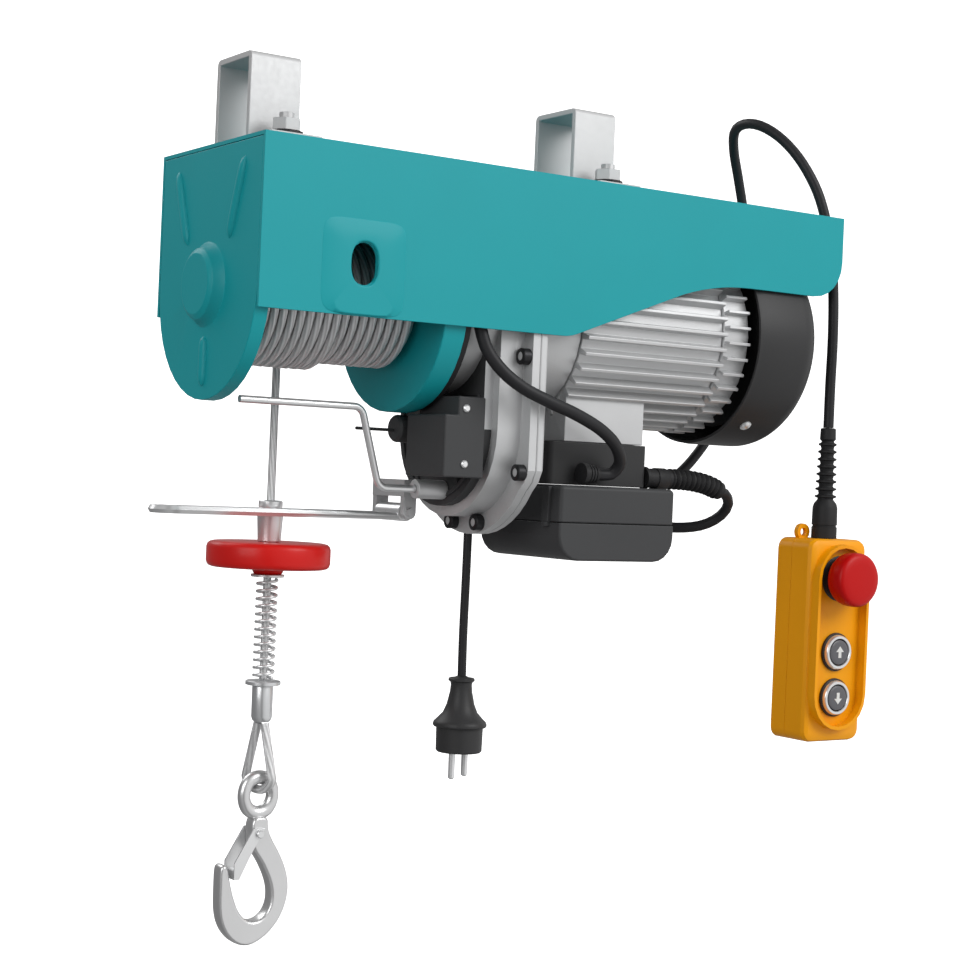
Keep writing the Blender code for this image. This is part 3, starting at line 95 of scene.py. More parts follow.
def surface(name, colour, roughness, metallic, grain, bump, variation, stretch=(1, 1, 1), coat=0.0):
    """A finish with fine grain, soft colour variation and uneven gloss."""
    mat = bpy.data.materials.new(name)
    mat.use_nodes = True
    nodes, links = mat.node_tree.nodes, mat.node_tree.links
    shader = nodes["Principled BSDF"]
    shader.inputs["Metallic"].default_value = metallic
    shader.inputs["Coat Weight"].default_value = coat
    shader.inputs["Coat Roughness"].default_value = 0.15
    shader.inputs["Specular IOR Level"].default_value = 0.22
    place = nodes.new("ShaderNodeTexCoord")
    mapping = nodes.new("ShaderNodeMapping")
    mapping.inputs["Scale"].default_value = stretch
    links.new(place.outputs["Object"], mapping.inputs["Vector"])
    fine = nodes.new("ShaderNodeTexNoise")
    fine.inputs["Scale"].default_value = grain
    fine.inputs["Detail"].default_value = 4.0
    broad = nodes.new("ShaderNodeTexNoise")
    broad.inputs["Scale"].default_value = 18.0
    broad.inputs["Detail"].default_value = 5.0
    links.new(mapping.outputs["Vector"], fine.inputs["Vector"])
    links.new(place.outputs["Object"], broad.inputs["Vector"])
    tint = nodes.new("ShaderNodeMix")
    tint.data_type = "RGBA"
    tint.inputs["A"].default_value = (*[c * (1 - variation) for c in colour], 1)
    tint.inputs["B"].default_value = (*[min(1, c * (1 + variation)) for c in colour], 1)
    links.new(broad.outputs["Fac"], tint.inputs["Factor"])
    links.new(tint.outputs["Result"], shader.inputs["Base Color"])
    gloss = nodes.new("ShaderNodeMapRange")
    gloss.inputs["To Min"].default_value = roughness * 0.82
    gloss.inputs["To Max"].default_value = min(1, roughness * 1.18)
    links.new(fine.outputs["Fac"], gloss.inputs["Value"])
    links.new(gloss.outputs["Result"], shader.inputs["Roughness"])
    relief = nodes.new("ShaderNodeBump")
    relief.inputs["Strength"].default_value = bump
    relief.inputs["Distance"].default_value = 0.0004
    links.new(fine.outputs["Fac"], relief.inputs["Height"])
    links.new(relief.outputs["Normal"], shader.inputs["Normal"])
    return mat


def rope_surface(name, dark, light, strands):
    """Twisted strands, from a UV map whose U counts lays and whose V goes once round. The colour carries
    painted shade: darker in the grooves between strands, lighter on their crowns.
    """
    mat = bpy.data.materials.new(name)
    mat.use_nodes = True
    nodes, links = mat.node_tree.nodes, mat.node_tree.links
    shader = nodes["Principled BSDF"]
    shader.inputs["Metallic"].default_value = 0.55
    shader.inputs["Roughness"].default_value = 0.46
    uv = nodes.new("ShaderNodeUVMap")
    uv.uv_map = "lay"
    parts = nodes.new("ShaderNodeSeparateXYZ")
    links.new(uv.outputs["UV"], parts.inputs["Vector"])
    heights = []
    for count, lay in ((strands, 1.0), (strands * 7, -4.0)):
        along = nodes.new("ShaderNodeMath")
        along.operation = "MULTIPLY"
        along.inputs[1].default_value = 2 * math.pi * lay
        links.new(parts.outputs["X"], along.inputs[0])
        phase = nodes.new("ShaderNodeMath")
        phase.operation = "MULTIPLY_ADD"
        phase.inputs[1].default_value = 2 * math.pi * count
        links.new(parts.outputs["Y"], phase.inputs[0])
        links.new(along.outputs[0], phase.inputs[2])
        wave = nodes.new("ShaderNodeMath")
        wave.operation = "COSINE"
        links.new(phase.outputs[0], wave.inputs[0])
        level = nodes.new("ShaderNodeMath")
        level.operation = "MULTIPLY_ADD"
        level.inputs[1].default_value = 0.5
        level.inputs[2].default_value = 0.5
        links.new(wave.outputs[0], level.inputs[0])
        heights.append(level)
    # Painted shade: the strand height darkens the colour into the grooves and lightens it on the crowns.
    tint = nodes.new("ShaderNodeMix")
    tint.data_type = "RGBA"
    tint.inputs["A"].default_value = (*dark, 1)
    tint.inputs["B"].default_value = (*light, 1)
    links.new(heights[0].outputs[0], tint.inputs["Factor"])
    links.new(tint.outputs["Result"], shader.inputs["Base Color"])
    total = nodes.new("ShaderNodeMath")
    total.operation = "MULTIPLY_ADD"
    total.inputs[1].default_value = 0.18
    links.new(heights[1].outputs[0], total.inputs[0])
    links.new(heights[0].outputs[0], total.inputs[2])
    relief = nodes.new("ShaderNodeBump")
    relief.inputs["Strength"].default_value = 0.55
    relief.inputs["Distance"].default_value = 0.0006
    links.new(total.outputs[0], relief.inputs["Height"])
    links.new(relief.outputs["Normal"], shader.inputs["Normal"])
    return mat


TEAL = surface("teal_paint_look", (0.006, 0.318, 0.352), 0.46, 0.0, 1100, 0.05, 0.04, coat=0.03)
ALLOY = surface("cast_alloy_look", (0.56, 0.565, 0.57), 0.44, 0.45, 420, 0.16, 0.07)
ALLOY_BRIGHT = surface("machined_alloy_look", (0.70, 0.71, 0.72), 0.30, 0.85, 500, 0.06, 0.05, (1, 6, 6))
ZINC = surface("zinc_look", (0.78, 0.785, 0.79), 0.30, 0.75, 300, 0.05, 0.08, (1, 1, 5))
FORGED = surface("forged_zinc_look", (0.72, 0.722, 0.725), 0.30, 0.85, 260, 0.14, 0.10)
BRACKET = surface("bracket_zinc_look", (0.50, 0.502, 0.505), 0.46, 0.30, 300, 0.05, 0.05)
CAP_GREY = surface("key_face_look", (0.11, 0.11, 0.12), 0.32, 0.0, 1200, 0.04, 0.06, coat=0.3)
STEEL = surface("machined_steel_look", (0.50, 0.50, 0.51), 0.34, 1.0, 500, 0.08, 0.08, (6, 1, 1))
DARK = surface("dark_plastic_look", (0.050, 0.051, 0.053), 0.48, 0.0, 1300, 0.10, 0.08)
BLACK = surface("black_plastic_look", (0.034, 0.034, 0.035), 0.42, 0.0, 1300, 0.10, 0.10)
RUBBER = surface("black_rubber_look", (0.020, 0.020, 0.021), 0.55, 0.0, 1500, 0.12, 0.12)
CORD = surface("cord_look", (0.020, 0.020, 0.022), 0.45, 0.0, 1200, 0.06, 0.10)
BLACK_STEEL = surface("black_steel_look", (0.030, 0.030, 0.032), 0.36, 0.6, 800, 0.08, 0.10)
COPPER = surface("copper_look", (0.60, 0.25, 0.10), 0.38, 0.9, 400, 0.2, 0.10, (1, 8, 8))
YELLOW = surface("yellow_plastic_look", (0.88, 0.350, 0.0), 0.40, 0.0, 1200, 0.05, 0.03, coat=0.03)
RED = surface("red_plastic_look", (0.50, 0.0, 0.0), 0.40, 0.0, 1200, 0.04, 0.05)
RED_PAINT = surface("red_paint_look", (0.62, 0.010, 0.008), 0.34, 0.0, 900, 0.05, 0.06, coat=0.06)
WHITE = surface("white_plastic_look", (0.72, 0.72, 0.70), 0.40, 0.0, 1200, 0.05, 0.03)
# The darker colour is the painted shade in the strands' grooves, the lighter one their crowns.
ROPE = rope_surface("wire_rope_look", (0.54, 0.54, 0.545), (0.82, 0.825, 0.83), 6)

LOOKS = {
    "teal_paint": TEAL,
    "cast_alloy": ALLOY,
    "zinc_steel": ZINC,
    "machined_steel": STEEL,
    "dark_plastic": DARK,
    "black_rubber": RUBBER,
    "black_steel": BLACK_STEEL,
    "copper_winding": COPPER,
    "yellow_plastic": YELLOW,
    "red_plastic": RED,
    "red_paint": RED_PAINT,
}


def node_object(node):
    found = frame["nodes"][node]
    return found if hasattr(found, "data") else bpy.data.objects[found]


def dress_nodes():
    """Every CAD node takes its slot's finish."""
    for node, slot in SLOT_OF.items():
        obj = node_object(node)
        if not obj.material_slots:
            obj.data.materials.append(None)
        for place in obj.material_slots:
            place.material = LOOKS[slot]


# ---------------------------------------------------------------- mesh helpers

def settle(obj, body, nodes=()):
    """Fixes a piece to its body, in place of the nodes."""
    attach(obj, body)
    if nodes:
        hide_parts(*nodes)
    return obj


def mesh_object(name, bm, look, angle=None):
    """A smooth object of the bmesh, in the scene. Edges that turn by more than the angle stay sharp."""
    bmesh.ops.recalc_face_normals(bm, faces=bm.faces)
    mesh = bpy.data.meshes.new(name)
    bm.to_mesh(mesh)
    bm.free()
    mesh.shade_smooth()
    if angle:
        mesh.set_sharp_from_angle(angle=math.radians(angle))
    mesh.materials.append(look)
    obj = bpy.data.objects.new(name, mesh)
    bpy.context.scene.collection.objects.link(obj)
    return obj


def mesh_piece(name, bm, look, body, nodes=(), angle=35):
    return settle(mesh_object(name, bm, look, angle), body, nodes)


def soften(obj, width, segments=2, angle=30):
    bevel = obj.modifiers.new("edges", "BEVEL")
    bevel.width = width
    bevel.segments = segments
    bevel.limit_method = "ANGLE"
    bevel.angle_limit = math.radians(angle)
    bevel.use_clamp_overlap = True
    bevel.harden_normals = True
    return obj


def refined(node, width, segments=2, look=None, paints=()):
    """The node's own shape with its edges rounded. Faces whose centre passes a test take its paint."""
    bm = bmesh.new()
    bm.from_mesh(node_object(node).data)
    bmesh.ops.remove_doubles(bm, verts=bm.verts, dist=0.00002)
    bmesh.ops.dissolve_limit(bm, angle_limit=math.radians(2), verts=bm.verts, edges=bm.edges)
    for number, (test, _) in enumerate(paints):
        for face in bm.faces:
            if test(face.calc_center_median()):
                face.material_index = number + 1
    mesh = bpy.data.meshes.new(node + "_refined")
    bm.to_mesh(mesh)
    bm.free()
    mesh.shade_smooth()
    mesh.set_sharp_from_angle(angle=math.radians(30))
    mesh.materials.append(look or LOOKS[SLOT_OF[node]])
    for _, paint in paints:
        mesh.materials.append(paint)
    piece = bpy.data.objects.new(node + "_refined", mesh)
    bpy.context.scene.collection.objects.link(piece)
    settle(piece, BODY_OF[node], (node,))
    if width:
        soften(piece, width, segments)
    return piece


def axis_matrix(axis, centre):
    """Turns a shape made along Z to lie along the axis, through the centre."""
    turn = {
        "X": Matrix.Rotation(math.radians(90), 4, "Y"),
        "Y": Matrix.Rotation(math.radians(-90), 4, "X"),
        "Z": Matrix.Identity(4),
    }[axis]
    return Matrix.Translation(centre) @ turn


def slanted_matrix(direction, origin):
    """Turns a shape made along Z to point in the direction, from the origin."""
    return Matrix.Translation(origin) @ direction.to_track_quat("Z", "Y").to_matrix().to_4x4()


def add_turned(bm, profile, place, segments):
    """A profile of distance and radius, turned once round. A radius of 0 closes it on its axis."""
    rings = []
    for along, radius in profile:
        if radius < 1e-9:
            rings.append([bm.verts.new(place @ Vector((0, 0, along)))])
            continue
        ring = []
        for i in range(segments):
            a = 2 * math.pi * i / segments
            ring.append(bm.verts.new(place @ Vector((radius * math.cos(a), radius * math.sin(a), along))))
        rings.append(ring)
    for ring, after in zip(rings, rings[1:] + rings[:1]):
        for i in range(segments):
            j = (i + 1) % segments
            corners = [ring[i % len(ring)], ring[j % len(ring)]]
            corners += [after[j % len(after)], after[i % len(after)]]
            unique = list(dict.fromkeys(corners))
            if len(unique) > 2:
                bm.faces.new(unique)


def turned(name, look, profile, axis, centre, body, nodes=(), segments=64):
    bm = bmesh.new()
    add_turned(bm, profile, axis_matrix(axis, centre), segments)
    return mesh_piece(name, bm, look, body, nodes)


def axis_place(axis, along, u, v):
    """A point so far along the axis, with the other two coordinates in their usual order."""
    if axis == "X":
        return Vector((along, u, v))
    if axis == "Y":
        return Vector((u, along, v))
    return Vector((u, v, along))


def rectangle(low_u, low_v, high_u, high_v):
    return [(low_u, low_v), (high_u, low_v), (high_u, high_v), (low_u, high_v)]


def add_prism(bm, outline, axis, first, last):
    """An outline pushed out along the axis, closed at both ends."""
    low = [bm.verts.new(axis_place(axis, first, u, v)) for u, v in outline]
    high = [bm.verts.new(axis_place(axis, last, u, v)) for u, v in outline]
    bm.faces.new(low)
    bm.faces.new(high)
    for i in range(len(outline)):
        j = (i + 1) % len(outline)
        bm.faces.new((low[i], low[j], high[j], high[i]))


def add_loop_band(bm, outer, inner, axis, first, last):
    """A closed band between two outlines of equal point counts."""
    rows = []
    for outline, along in ((outer, first), (outer, last), (inner, last), (inner, first)):
        rows.append([bm.verts.new(axis_place(axis, along, u, v)) for u, v in outline])
    count = len(outer)
    for row, after in zip(rows, rows[1:] + rows[:1]):
        for i in range(count):
            j = (i + 1) % count
            bm.faces.new((row[i], row[j], after[j], after[i]))


def arc(centre, radius, first, last, steps):
    """Points on an arc between two angles in degrees."""
    angles = [math.radians(first + (last - first) * i / steps) for i in range(steps + 1)]
    return [(centre[0] + radius * math.cos(a), centre[1] + radius * math.sin(a)) for a in angles]


def smooth_points(route, spacing):
    """Evenly spaced points on a smooth curve through the route."""
    stops = [Vector(p) for p in route]
    stops = [2 * stops[0] - stops[1]] + stops + [2 * stops[-1] - stops[-2]]
    fine = []
    for a, b, c, d in zip(stops, stops[1:], stops[2:], stops[3:]):
        for i in range(12):
            t = i / 12
            fine.append(0.5 * (2 * b + (c - a) * t + (2 * a - 5 * b + 4 * c - d) * t * t
                               + (3 * b - a - 3 * c + d) * t ** 3))
    fine.append(stops[-2])
    lengths = [0.0]
    for a, b in zip(fine, fine[1:]):
        lengths.append(lengths[-1] + (b - a).length)
    count = max(3, round(lengths[-1] / spacing) + 1)
    points, k = [], 0
    for i in range(count):
        want = lengths[-1] * i / (count - 1)
        while k < len(fine) - 2 and lengths[k + 1] < want:
            k += 1
        share = (want - lengths[k]) / (lengths[k + 1] - lengths[k])
        points.append(fine[k].lerp(fine[k + 1], share))
    return points


def path_length(points):
    return sum((b - a).length for a, b in zip(points, points[1:]))


def add_sweep(bm, points, radius, sides):
    """A round section along points. Radius is a number or a function of the distance; UVs count lays."""
    points = [Vector(p) for p in points]
    uv = bm.loops.layers.uv.get("lay") or bm.loops.layers.uv.new("lay")
    last = len(points) - 1
    ahead = []
    for i in range(last + 1):
        ahead.append((points[min(i + 1, last)] - points[max(i - 1, 0)]).normalized())
    side = ahead[0].orthogonal().normalized()
    rings, gone, distance = [], [], 0.0
    for i, point in enumerate(points):
        if i:
            side = ahead[i - 1].rotation_difference(ahead[i]) @ side
            distance += (point - points[i - 1]).length
        side = (side - side.project(ahead[i])).normalized()
        across = ahead[i].cross(side)
        size = radius(distance) if callable(radius) else radius
        ring = []
        for k in range(sides):
            a = 2 * math.pi * k / sides
            ring.append(bm.verts.new(point + (side * math.cos(a) + across * math.sin(a)) * size))
        rings.append(ring)
        gone.append(distance)
    for row, after, start, end in zip(rings, rings[1:], gone, gone[1:]):
        for k in range(sides):
            j = (k + 1) % sides
            face = bm.faces.new((row[k], row[j], after[j], after[k]))
            corners = ((start, k), (start, k + 1), (end, k + 1), (end, k))
            for loop, (u, v) in zip(face.loops, corners):
                loop[uv].uv = (u / ROPE_LAY, v / sides)
    bm.faces.new(rings[0])
    bm.faces.new(rings[-1])


def sweep(name, look, points, radius, sides, body, nodes):
    """A round section along points, as a piece."""
    bm = bmesh.new()
    add_sweep(bm, points, radius, sides)
    return mesh_piece(name, bm, look, body, nodes, 60)


def stretched_sweep(name, look, points, radius, sides, node):
    """A round section along points in place of the node, left in world space and in no body."""
    bm = bmesh.new()
    add_sweep(bm, points, radius, sides)
    piece = mesh_object(name, bm, look)
    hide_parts(node)
    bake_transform(piece)


def cord_curve(name, look, points, radius):
    """A round cord as a curve of one open spline."""
    curve = bpy.data.curves.new(name, "CURVE")
    curve.dimensions = "3D"
    curve.bevel_depth = radius
    curve.bevel_resolution = 5
    curve.use_fill_caps = True
    spline = curve.splines.new("POLY")
    spline.points.add(len(points) - 1)
    for point, place in zip(spline.points, points):
        point.co = (*place, 1.0)
    spline.use_smooth = True
    curve.materials.append(look)
    obj = bpy.data.objects.new(name, curve)
    bpy.context.scene.collection.objects.link(obj)
    return obj


# ---------------------------------------------------------------- camera, light and floor

def camera():
    """The view at the object's left front, level with it and rolled a little."""
    turn, tilt, roll = math.radians(-33.944), math.radians(0.042), math.radians(2.484)
    right = Vector((math.cos(turn), math.sin(turn), 0))
    back = Vector((math.sin(turn) * math.cos(tilt), -math.cos(turn) * math.cos(tilt), math.sin(tilt)))
    up = back.cross(right)
    rolled_right = right * math.cos(roll) + up * math.sin(roll)
    rolled_up = up * math.cos(roll) - right * math.sin(roll)
    data = bpy.data.cameras.new("camera")
    data.lens, data.sensor_width, data.clip_end = 71.72, 36.0, 50.0
    obj = bpy.data.objects.new("camera", data)
    matrix = Matrix((rolled_right, rolled_up, back)).transposed().to_4x4()
    matrix.translation = (-0.5636, -1.1138, -0.2611)
    obj.matrix_world = matrix
    bpy.context.scene.collection.objects.link(obj)
    bpy.context.scene.camera = obj
    bpy.context.scene.view_settings.view_transform = "Standard"


def area_light(name, place, aim, size, power):
    data = bpy.data.lights.new(name, "AREA")
    data.shape, data.size, data.energy = "SQUARE", size, power
    obj = bpy.data.objects.new(name, data)
    obj.location = place
    obj.rotation_euler = (Vector(aim) - Vector(place)).to_track_quat("-Z", "Y").to_euler()
    bpy.context.scene.collection.objects.link(obj)


def lights():
    aim = (0.2, 0.0, -0.25)
    area_light("key", (1.3, -2.1, 1.2), aim, 1.5, 38)
    area_light("fill", (-2.2, -1.0, 0.5), aim, 1.6, 24)
    area_light("rim", (-0.6, 2.0, 1.4), aim, 1.5, 18)


def surroundings():
    """A world from grey to white with one dark band across it, which gives the metal its contrast."""
    world = bpy.data.worlds.new("studio")
    world.use_nodes = True
    nodes, links = world.node_tree.nodes, world.node_tree.links
    place = nodes.new("ShaderNodeTexCoord")
    side = nodes.new("ShaderNodeVectorMath")
    side.operation = "DOT_PRODUCT"
    side.inputs[1].default_value = (0.72, -0.60, 0.25)
    links.new(place.outputs["Generated"], side.inputs[0])
    ramp = nodes.new("ShaderNodeValToRGB")
    bands = ramp.color_ramp.elements
    bands[0].position, bands[1].position = 0.10, 0.92
    bands[0].color, bands[1].color = (0.30, 0.30, 0.305, 1), (1.25, 1.25, 1.25, 1)
    for position, level in ((0.47, 0.66), (0.54, 0.10), (0.61, 0.10), (0.68, 1.0)):
        bands.new(position).color = (level, level, level, 1)
    spread = nodes.new("ShaderNodeMapRange")
    spread.inputs["From Min"].default_value = -1.0
    links.new(side.outputs["Value"], spread.inputs["Value"])
    links.new(spread.outputs["Result"], ramp.inputs["Fac"])
    links.new(ramp.outputs["Color"], nodes["Background"].inputs["Color"])
    nodes["Background"].inputs["Strength"].default_value = 0.65
    bpy.context.scene.world = world


def stage_floor():
    """A pale floor that curves up in front and behind. It glows, but casts nothing on the object."""
    bend, bend_z, wall_top, half_length = 0.9, -0.60, 3.0, 6.0
    front_y, back_y = -4.0, 2.0
    profile = [(front_y - bend, wall_top)]
    profile += arc((front_y, bend_z), bend, 180, 270, 16) + arc((back_y, bend_z), bend, -90, 0, 16)
    profile.append((back_y + bend, wall_top))
    bm = bmesh.new()
    rows = [[bm.verts.new((x, y, z)) for y, z in profile] for x in (-half_length, half_length)]
    for i in range(len(profile) - 1):
        bm.faces.new((rows[0][i], rows[1][i], rows[1][i + 1], rows[0][i + 1]))
    mesh = bpy.data.meshes.new("floor")
    bm.to_mesh(mesh)
    bm.free()
    mesh.shade_smooth()
    look = surface("floor_look", (0.90, 0.90, 0.90), 0.9, 0.0, 60, 0.02, 0.01)
    shader = look.node_tree.nodes["Principled BSDF"]
    shader.inputs["Emission Color"].default_value = (1, 1, 1, 1)
    shader.inputs["Emission Strength"].default_value = 0.85
    mesh.materials.append(look)
    floor = bpy.data.objects.new("floor", mesh)
    bpy.context.scene.collection.objects.link(floor)
    floor.visible_diffuse = floor.visible_glossy = floor.visible_shadow = False


# ---------------------------------------------------------------- cords

def cords():
    points = smooth_points(PENDANT_CORD_ROUTE, 0.006)
    piece = cord_curve("pendant_lead", CORD, points, 0.0039)
    settle(piece, "housing", ("pendant_cord",))
    points = smooth_points(POWER_CORD_ROUTE, 0.005)
    plug = mains_plug()
    piece = cord_curve("mains_lead", CORD, points, 0.0031)
    settle(piece, "housing", ("power_cord",))
    points = smooth_points(LOOM_ROUTE, 0.004)
    sweep("loom", CORD, points, 0.0043, 24, "housing", ("loom_cable",))


def mains_plug():
    """The plug hangs nose down. Its two pins are a piece on it."""
    top, x, y, turn = -0.4028, 0.1945, 0.025, math.radians(28)
    pin_reach, pin_top = 0.0095, top - 0.0538
    bm = bmesh.new()
    place = Matrix.Translation((x, y, 0))
    add_turned(bm, [
        (top, 0.0), (top, 0.0040), (top - 0.0006, 0.0050), (top - 0.0012, 0.0088), (top - 0.0020, 0.0094),
        (top - 0.0032, 0.0094), (top - 0.0042, 0.0080), (top - 0.0060, 0.0076), (top - 0.0110, 0.0080),
        (top - 0.0200, 0.0100), (top - 0.0260, 0.0125), (top - 0.0310, 0.0172), (top - 0.0325, 0.0188),
        (top - 0.0340, 0.0193), (top - 0.0352, 0.0193), (top - 0.0360, 0.0186), (top - 0.0360, 0.0168),
        (top - 0.0530, 0.0165), (top - 0.0540, 0.0155), (top - 0.0540, 0.0),
    ], place, 64)
    body = mesh_piece("plug_body", bm, BLACK, "housing", ("mains_plug",))
    bm = bmesh.new()
    for side in (-1, 1):
        reach = side * pin_reach
        spot = Matrix.Translation((x + reach * math.cos(turn), y + reach * math.sin(turn), 0))
        add_turned(bm, [
            (pin_top - 0.0190, 0.0), (pin_top - 0.0188, 0.0012), (pin_top - 0.0178, 0.0023),
            (pin_top, 0.0024), (pin_top, 0.0),
        ], spot, 24)
    pins = mesh_piece("plug_contacts", bm, ZINC, "housing")
    pins.parent = body
    return body


def terminal_gland():
    """The gland on the terminal box, with the ribbed relief that leads the pendant's lead out of it."""
    x, y, z = 0.3200, -0.0400, -0.2555
    relief = smooth_points(((x, y, z), (0.3400, y, -0.2558), (0.3580, -0.0396, -0.2580),
                            (0.3735, -0.0386, -0.2625)), 0.0006)
    total, plain_end, radius, wave, pitch = path_length(relief), 0.004, 0.0066, 0.0011, 0.0046

    def ribbed(distance):
        if distance < plain_end or distance > total - plain_end:
            return radius
        return radius + wave * math.cos(2 * math.pi * distance / pitch)

    bm = bmesh.new()
    add_sweep(bm, relief, ribbed, 32)
    add_turned(bm, [
        (0.2993, 0.0), (0.2993, 0.0078), (0.3015, 0.0082), (0.3015, 0.0070), (0.3100, 0.0070),
        (0.3100, 0.0076), (0.3190, 0.0076), (0.3215, 0.0062), (0.3215, 0.0),
    ], axis_matrix("X", (0, y, z)), 40)
    mesh_piece("pendant_cord_gland", bm, RUBBER, "housing", ("pendant_gland",))


def loom_gland():
    """The stepped gland at the terminal box's front, where the loom goes in."""
    first, pitch = 0.2368, 0.0026
    profile = [(0.2340, 0.0), (0.2340, 0.0074), (0.2366, 0.0074)]
    for k in range(4):
        x = first + pitch * k
        large, small = 0.0070 - 0.0003 * k, 0.0058 - 0.0002 * k
        profile += [(x, large), (x + 0.0016, large), (x + 0.0017, small), (x + 0.0025, small)]
    profile += [(0.2480, 0.0050), (0.2480, 0.0)]
    bm = bmesh.new()
    add_turned(bm, profile, axis_matrix("X", (0, -0.0535, -0.2545)), 40)
    mesh_piece("loom_cable_gland", bm, RUBBER, "housing", ("loom_gland",))


def mains_gland():
    """A collar on the capacitor housing's left end, and the nose that turns the mains lead down."""
    y = 0.0250
    bm = bmesh.new()
    add_turned(bm, [(0.2035, 0.0), (0.2035, 0.0056), (0.2048, 0.0070), (0.2127, 0.0078), (0.2127, 0.0)],
               axis_matrix("X", (0, y, -0.2780)), 40)
    slant = Vector((-1, 0, -1)).normalized()
    add_turned(bm, [
        (0.0, 0.0), (0.0, 0.0064), (0.0030, 0.0062), (0.0033, 0.0054), (0.0050, 0.0054), (0.0053, 0.0058),
        (0.0078, 0.0052), (0.0081, 0.0045), (0.0098, 0.0045), (0.0101, 0.0048), (0.0124, 0.0042),
        (0.0124, 0.0),
    ], slanted_matrix(slant, (0.2085, y, -0.2755)), 40)
    mesh_piece("mains_lead_gland", bm, RUBBER, "housing", ("power_cord_gland",))


def pendant_boot():
    """The ribbed boot over the pendant, which widens downwards to a grooved collar."""
    top, count, pitch = -0.2118, 8, 0.0056
    first, foot = top - 0.0090, -0.2947
    collar = first - count * pitch
    profile = [(top, 0.0), (top, 0.0050), (top - 0.0006, 0.0057), (first + 0.0006, 0.0060), (first, 0.0054)]
    for k in range(count):
        z = first - k * pitch
        small, large = 0.0046 + 0.0001 * k, 0.0067 + 0.0002 * k
        profile += [(z - 0.0010, small), (z - 0.0020, small + 0.0006), (z - 0.0026, large),
                    (z - 0.0038, large), (z - 0.0046, small + 0.0006)]
    profile += [
        (collar, 0.0060), (collar - 0.0030, 0.0084), (collar - 0.0060, 0.0093), (collar - 0.0190, 0.0095),
        (collar - 0.0192, 0.0088), (collar - 0.0205, 0.0088), (collar - 0.0207, 0.0095), (foot, 0.0095),
        (foot, 0.0),
    ]
    turned("pendant_bellows", RUBBER, profile, "Z", (PENDANT_X, PENDANT_Y, 0), "housing",
           ("pendant_boot",), 48)


# ---------------------------------------------------------------- frame and cheeks

def frame_pieces():
    def washer(centre):
        return -0.0507 < centre.z < -0.0479

    refined("frame_channel", 0.0022, 3)
    refined("inner_cheek", 0.0010)
    refined("drum_end_cheek", 0.0020, 3)
    refined("gasket_ring", 0.0004)
    for node in ("drum_side_bracket", "motor_side_bracket"):
        refined(node, 0.0007, 2, BRACKET)
    for k in range(4):
        refined(f"bracket_bolt_{k + 1}", 0.0004, 2, BRACKET, ((washer, BLACK_STEEL),))
    cheek_ribs()
    hand_hole_panel()


def add_rib(bm, start, end, width, height):
    """A rounded raised rib on the drum-end cheek's outer face, in Y and Z."""
    start, end = Vector(start), Vector(end)
    along = (end - start).normalized()
    across = Vector((-along.y, along.x))
    steps, arcs = 20, 10
    rows = []
    for i in range(steps + 1):
        t = i / steps
        swell = max(0.02, 1 - abs(2 * t - 1) ** 6) ** 0.5
        centre = start.lerp(end, t)
        row = []
        for k in range(arcs + 1):
            a = math.pi * k / arcs
            spot = centre + across * (0.5 * width * swell * math.cos(a))
            row.append(bm.verts.new((CHEEK_FACE - height * swell * math.sin(a), spot.x, spot.y)))
        rows.append(row)
    for row, after in zip(rows, rows[1:]):
        for k in range(arcs):
            bm.faces.new((row[k], row[k + 1], after[k + 1], after[k]))
        bm.faces.new((row[0], after[0], after[-1], row[-1]))
    bm.faces.new(rows[0])
    bm.faces.new(rows[-1])


def cheek_ribs():
    """Two ribs that spread upwards, and one below."""
    bm = bmesh.new()
    for start, end in (
        ((-0.0300, -0.1175), (-0.0480, -0.0680)),
        ((0.0300, -0.1175), (0.0480, -0.0680)),
        ((0.0, -0.1780), (0.0, -0.2100)),
    ):
        add_rib(bm, start, end, 0.0085, 0.0030)
    mesh_piece("cheek_ribs", bm, TEAL, "housing")


def ray_outline(centre, half_width, above, below, power):
    """A rounded outline round a centre, in X and Z, with its points on evenly turned rays."""
    count = 64
    points = []
    for i in range(count):
        a = 2 * math.pi * i / count
        tall = above if math.sin(a) > 0 else below
        reach = (abs(math.cos(a) / half_width) ** power + abs(math.sin(a) / tall) ** power) ** (-1 / power)
        points.append((centre[0] + reach * math.cos(a), centre[1] + reach * math.sin(a)))
    return points


def hand_hole_panel():
    """The pressed panel that stands a little proud round the hole in the front flange."""
    centre, square_power, oval_power = (0.0420, -0.1295), 7, 2.4
    top_face = FRONT_FACE - 0.0018
    outlines = ((ray_outline(centre, 0.0310, 0.0285, 0.0326, square_power), FRONT_FACE),
                (ray_outline(centre, 0.0225, 0.0200, 0.0322, square_power), top_face),
                (ray_outline(centre, 0.0100, 0.0142, 0.0142, oval_power), top_face),
                (ray_outline(centre, 0.0096, 0.0136, 0.0136, oval_power), FRONT_FACE))
    bm = bmesh.new()
    rows = [[bm.verts.new((x, y, z)) for x, z in outline] for outline, y in outlines]
    for row, after in zip(rows, rows[1:] + rows[:1]):
        for i in range(len(row)):
            j = (i + 1) % len(row)
            bm.faces.new((row[i], row[j], after[j], after[i]))
    soften(mesh_piece("hand_hole_panel", bm, TEAL, "housing", (), 25), 0.0012, 3, 18)


# ---------------------------------------------------------------- rope

def wound_rope():
    """Two layers on the drum, the upper one part of the way along."""
    steps = 36
    bm = bmesh.new()
    for first, last, turns, radius in ((-0.0207, 0.0998, 18, 0.0421), (-0.0207, 0.0438, 10, 0.0469)):
        points = []
        count = turns * steps
        for i in range(count + 1):
            a = 2 * math.pi * i / steps
            x = first + (last - first) * i / count
            points.append((x, radius * math.cos(a), DRUM_Z + radius * math.sin(a)))
        add_sweep(bm, points, ROPE_RADIUS, 10)
    mesh_piece("wound_rope", bm, ROPE, "drum", ("rope_winding",), 70)
    refined("rope_drum", 0.0004)


